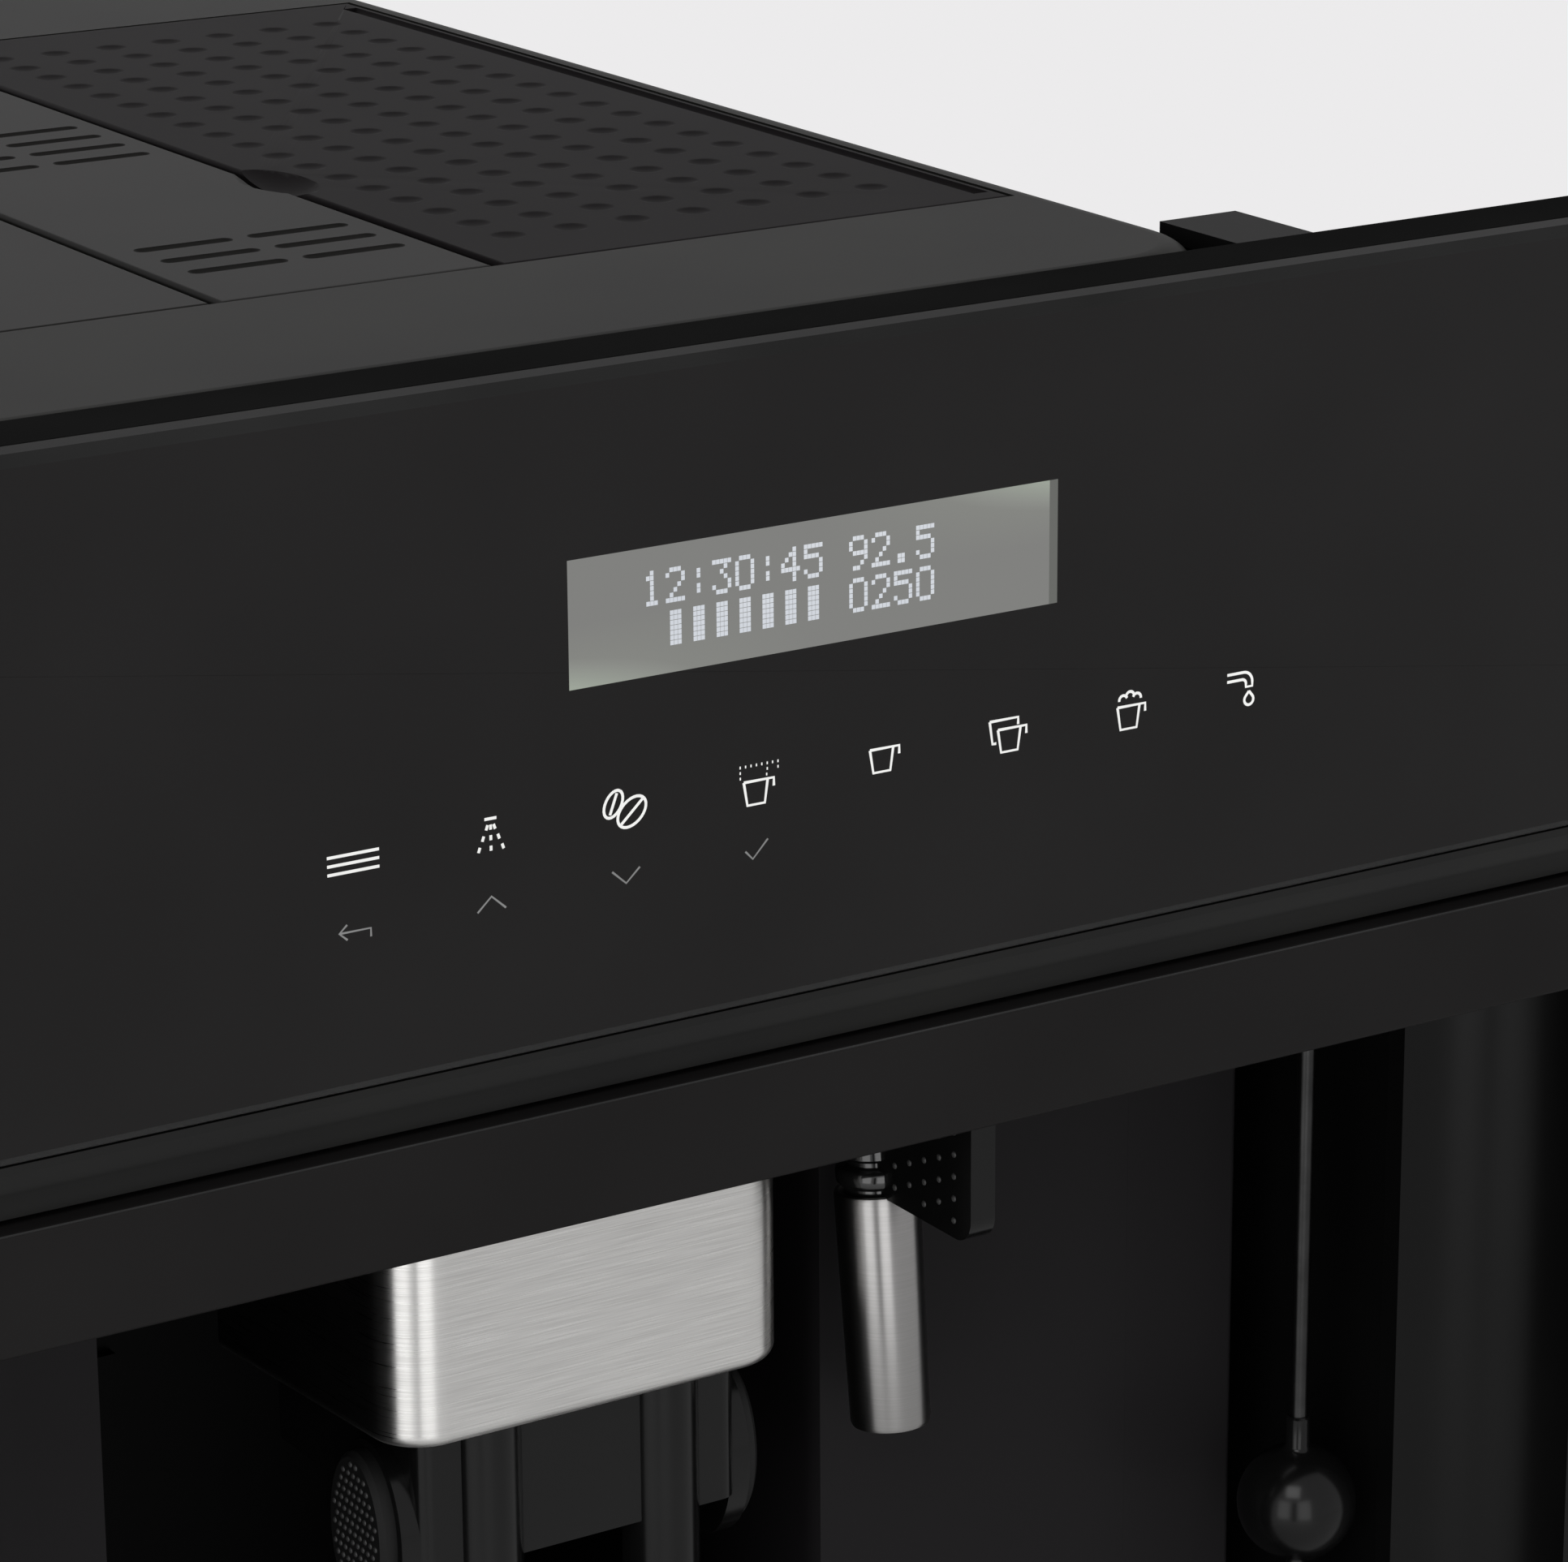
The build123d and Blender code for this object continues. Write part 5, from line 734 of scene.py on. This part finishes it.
# ball, plain cylinder, two rings, then the steam tube down to the nozzle's tip
neck = turnedPiece([
    (0.0, -6.0), (2.6, -5.4), (4.7, -3.7), (5.8, -1.5), (5.9, 0.8), (5.3, 3.2), (4.9, 4.6),
    (4.7, 7.0), (4.7, 22.0), (4.7, 25.0), (4.75, 28.0), (4.75, 30.2), (4.4, 31.0),
    (5.3, 31.3), (5.65, 31.7), (5.65, 33.6), (5.3, 34.0), (4.6, 34.3), (4.6, 35.0),
    (5.9, 35.3), (6.3, 35.8), (6.3, 37.6), (6.0, 38.2), (5.2, 38.6), (5.2, 39.8),
    (3.0, 40.2), (3.0, 77.0), (0.9, 77.0), (0.9, 78.4), (0.0, 78.6),
], 48)
onWand(neck)
applyPlace(neck)
thick, (near, far) = wand["axleRadius"], wand["axle"]
axle = turnedPiece([(0.0, near), (thick, near), (thick, far), (0.0, far)], 24)
axle.rotation_euler = (math.radians(-90), 0, 0)
axle.location = (wand["x"] * mm, (wand["y"] + wand["axleBack"]) * mm, wand["pivot"] * mm)
applyPlace(axle)
clearChoice()
axle.select_set(True)
neck.select_set(True)
bpy.context.view_layer.objects.active = neck
bpy.ops.object.join()
settle(neck, "ringedNeck", neckPlastic, "wand", ["wand_neck"], angle=40)
print("knob and wand made")


# raised dots for the fingers
def dotField(name, places, radius, height, along, material, body):
    # low domes, modelled once and copied
    clearChoice()
    stretch = [height / radius if axis == along else 1 for axis in "xyz"]
    bpy.ops.mesh.primitive_uv_sphere_add(
        segments=8, ring_count=6, radius=radius * mm, location=(0, 0, 0), scale=stretch,
    )
    field = bpy.context.object
    applyPlace(field)
    copyTo(field, [Vector(place) * mm for place in places])
    settle(field, name, material, body, angle=60)


fin = {"sides": (39.3, 43.7), "firstY": -181.2, "pitchY": 4.05, "columns": 5, "foot": 309.0, "top": 325.5,
       "pitchZ": 3.56, "radius": 0.55, "height": 0.25}
finPlaces = []
for side in fin["sides"]:
    for column in range(fin["columns"]):
        z = fin["foot"] + (column % 2) * fin["pitchZ"] / 2
        while z < fin["top"]:
            finPlaces.append((side, fin["firstY"] + column * fin["pitchY"], z))
            z += fin["pitchZ"]
# the fin's dots are painted paler as glints
dotField("finDots", finPlaces, fin["radius"], fin["height"], "x", paleGlintDots, "wand")

grip = {"sides": (-47.1, 19.1), "middle": (-149.0, 266.5), "half": (6.9, 11.5), "pitch": 1.6, "rows": 8,
        "columns": 6, "radius": 0.5, "height": 0.3}
gripPlaces = []
for side in grip["sides"]:
    for row in range(-grip["rows"], grip["rows"] + 1):
        for column in range(-grip["columns"], grip["columns"] + 1):
            y = (column + (row % 2) / 2) * grip["pitch"]
            z = row * grip["pitch"]
            if (y / grip["half"][0]) ** 2 + (z / grip["half"][1]) ** 2 < 1:
                gripPlaces.append((side, grip["middle"][0] + y, grip["middle"][1] + z))
# the grip's dots are painted paler as glints
dotField("gripDots", gripPlaces, grip["radius"], grip["height"], "x", paleGlintDots, "spout")
print("finger dots:", len(finPlaces), "and", len(gripPlaces))

# camera, solved from the straight edges of the glass, the strip and the top cover
cameraAt = Vector((-0.39797, -0.83017, 0.62376))
right = Vector((0.845742, -0.533552, -0.006549))
up = Vector((0.164801, 0.249516, 0.954244))
forward = Vector((0.507505, 0.808124, -0.298956))
turn = Matrix((right, up, -forward)).transposed().to_4x4()
cameraData = bpy.data.cameras.new("camera")
cameraData.lens = 127.81
cameraData.sensor_width = 36.0
camera = bpy.data.objects.new("camera", cameraData)
camera.matrix_world = Matrix.Translation(cameraAt) @ turn
bpy.context.scene.collection.objects.link(camera)
bpy.context.scene.camera = camera

# one broad lamp above, two that the spout's corner shows as bright bands, and two weak ones behind and beside
lamps = {
    "key": {"place": (-1.3, -1.5, 1.9), "aim": (0, -0.1, 0.3), "size": (1.2, 1.0), "watts": 14},
    "left": {"place": (-0.785, -0.66, 0.33), "aim": (-0.03, -0.17, 0.31), "size": (0.42, 0.62), "watts": 1.6},
    "front": {"place": (-0.248, -1.043, 0.33), "aim": (-0.03, -0.17, 0.31), "size": (0.42, 0.62), "watts": 1.6},
    "back": {"place": (0.4, 1.8, 1.9), "aim": (0, 0, 0.4), "size": (1.6, 1.0), "watts": 2},
    "side": {"place": (1.7, -0.6, 1.1), "aim": (0, -0.1, 0.35), "size": (0.9, 0.9), "watts": 4},
}
for name, lamp in lamps.items():
    light = bpy.data.lights.new(name, "AREA")
    light.energy = lamp["watts"]
    light.shape = "RECTANGLE"
    light.size, light.size_y = lamp["size"]
    holder = bpy.data.objects.new(name, light)
    holder.location = lamp["place"]
    holder.rotation_euler = (Vector(lamp["aim"]) - Vector(lamp["place"])).to_track_quat("-Z", "Y").to_euler()
    holder.visible_camera = False
    bpy.context.scene.collection.objects.link(holder)

# pale backdrop wherever it is seen, weaker light on everything else
world = bpy.data.worlds.new("studio")
bpy.context.scene.world = world
world.use_nodes = True
tree = world.node_tree
tree.nodes.clear()
rays = addNode(tree, "ShaderNodeLightPath")
seen = rays.outputs["Is Camera Ray"]
for kind in ("Is Transmission Ray", "Is Glossy Ray"):
    seen = addNode(tree, "ShaderNodeMath", {0: seen, 1: rays.outputs[kind]}, operation="MAXIMUM").outputs[0]
pale = addNode(tree, "ShaderNodeBackground", inputs={"Color": linear("#ecebec"), "Strength": 1.0})
soft = addNode(tree, "ShaderNodeBackground", inputs={"Color": linear("#ffffff"), "Strength": 0.7})
both = addNode(tree, "ShaderNodeMixShader", {0: seen, 1: soft.outputs[0], 2: pale.outputs[0]})
addNode(tree, "ShaderNodeOutputWorld", {"Surface": both.outputs[0]})

bpy.ops.mesh.primitive_plane_add(size=2.8, location=(0, 0, 0))
floor = bpy.context.object
floor.name = "floor"
# plain white that keeps the shadow
floor.data.materials.append(mouldedPlastic("floor, matt white", "#e4e4e4", "#e8e8e8", 0.7, grain=3))

# black flag behind the camera: metal shows it as one dark line between the two soft lamps
clearChoice()
bpy.ops.mesh.primitive_plane_add(
    size=1, location=(-0.4, -0.76, 0.27), rotation=(math.radians(90), 0, math.radians(-32)),
)
flag = bpy.context.object
flag.name = "flag"
flag.scale = (0.075, 0.5, 1)
applyPlace(flag)
flag.data.materials.append(mouldedPlastic("flag, black felt", "#020202", "#040404", 0.9, grain=2, level=0.0))
flag.visible_camera = False
flag.visible_diffuse = False
flag.visible_shadow = False
clearChoice()

bpy.context.scene.view_settings.view_transform = "Standard"
print("stage ready")
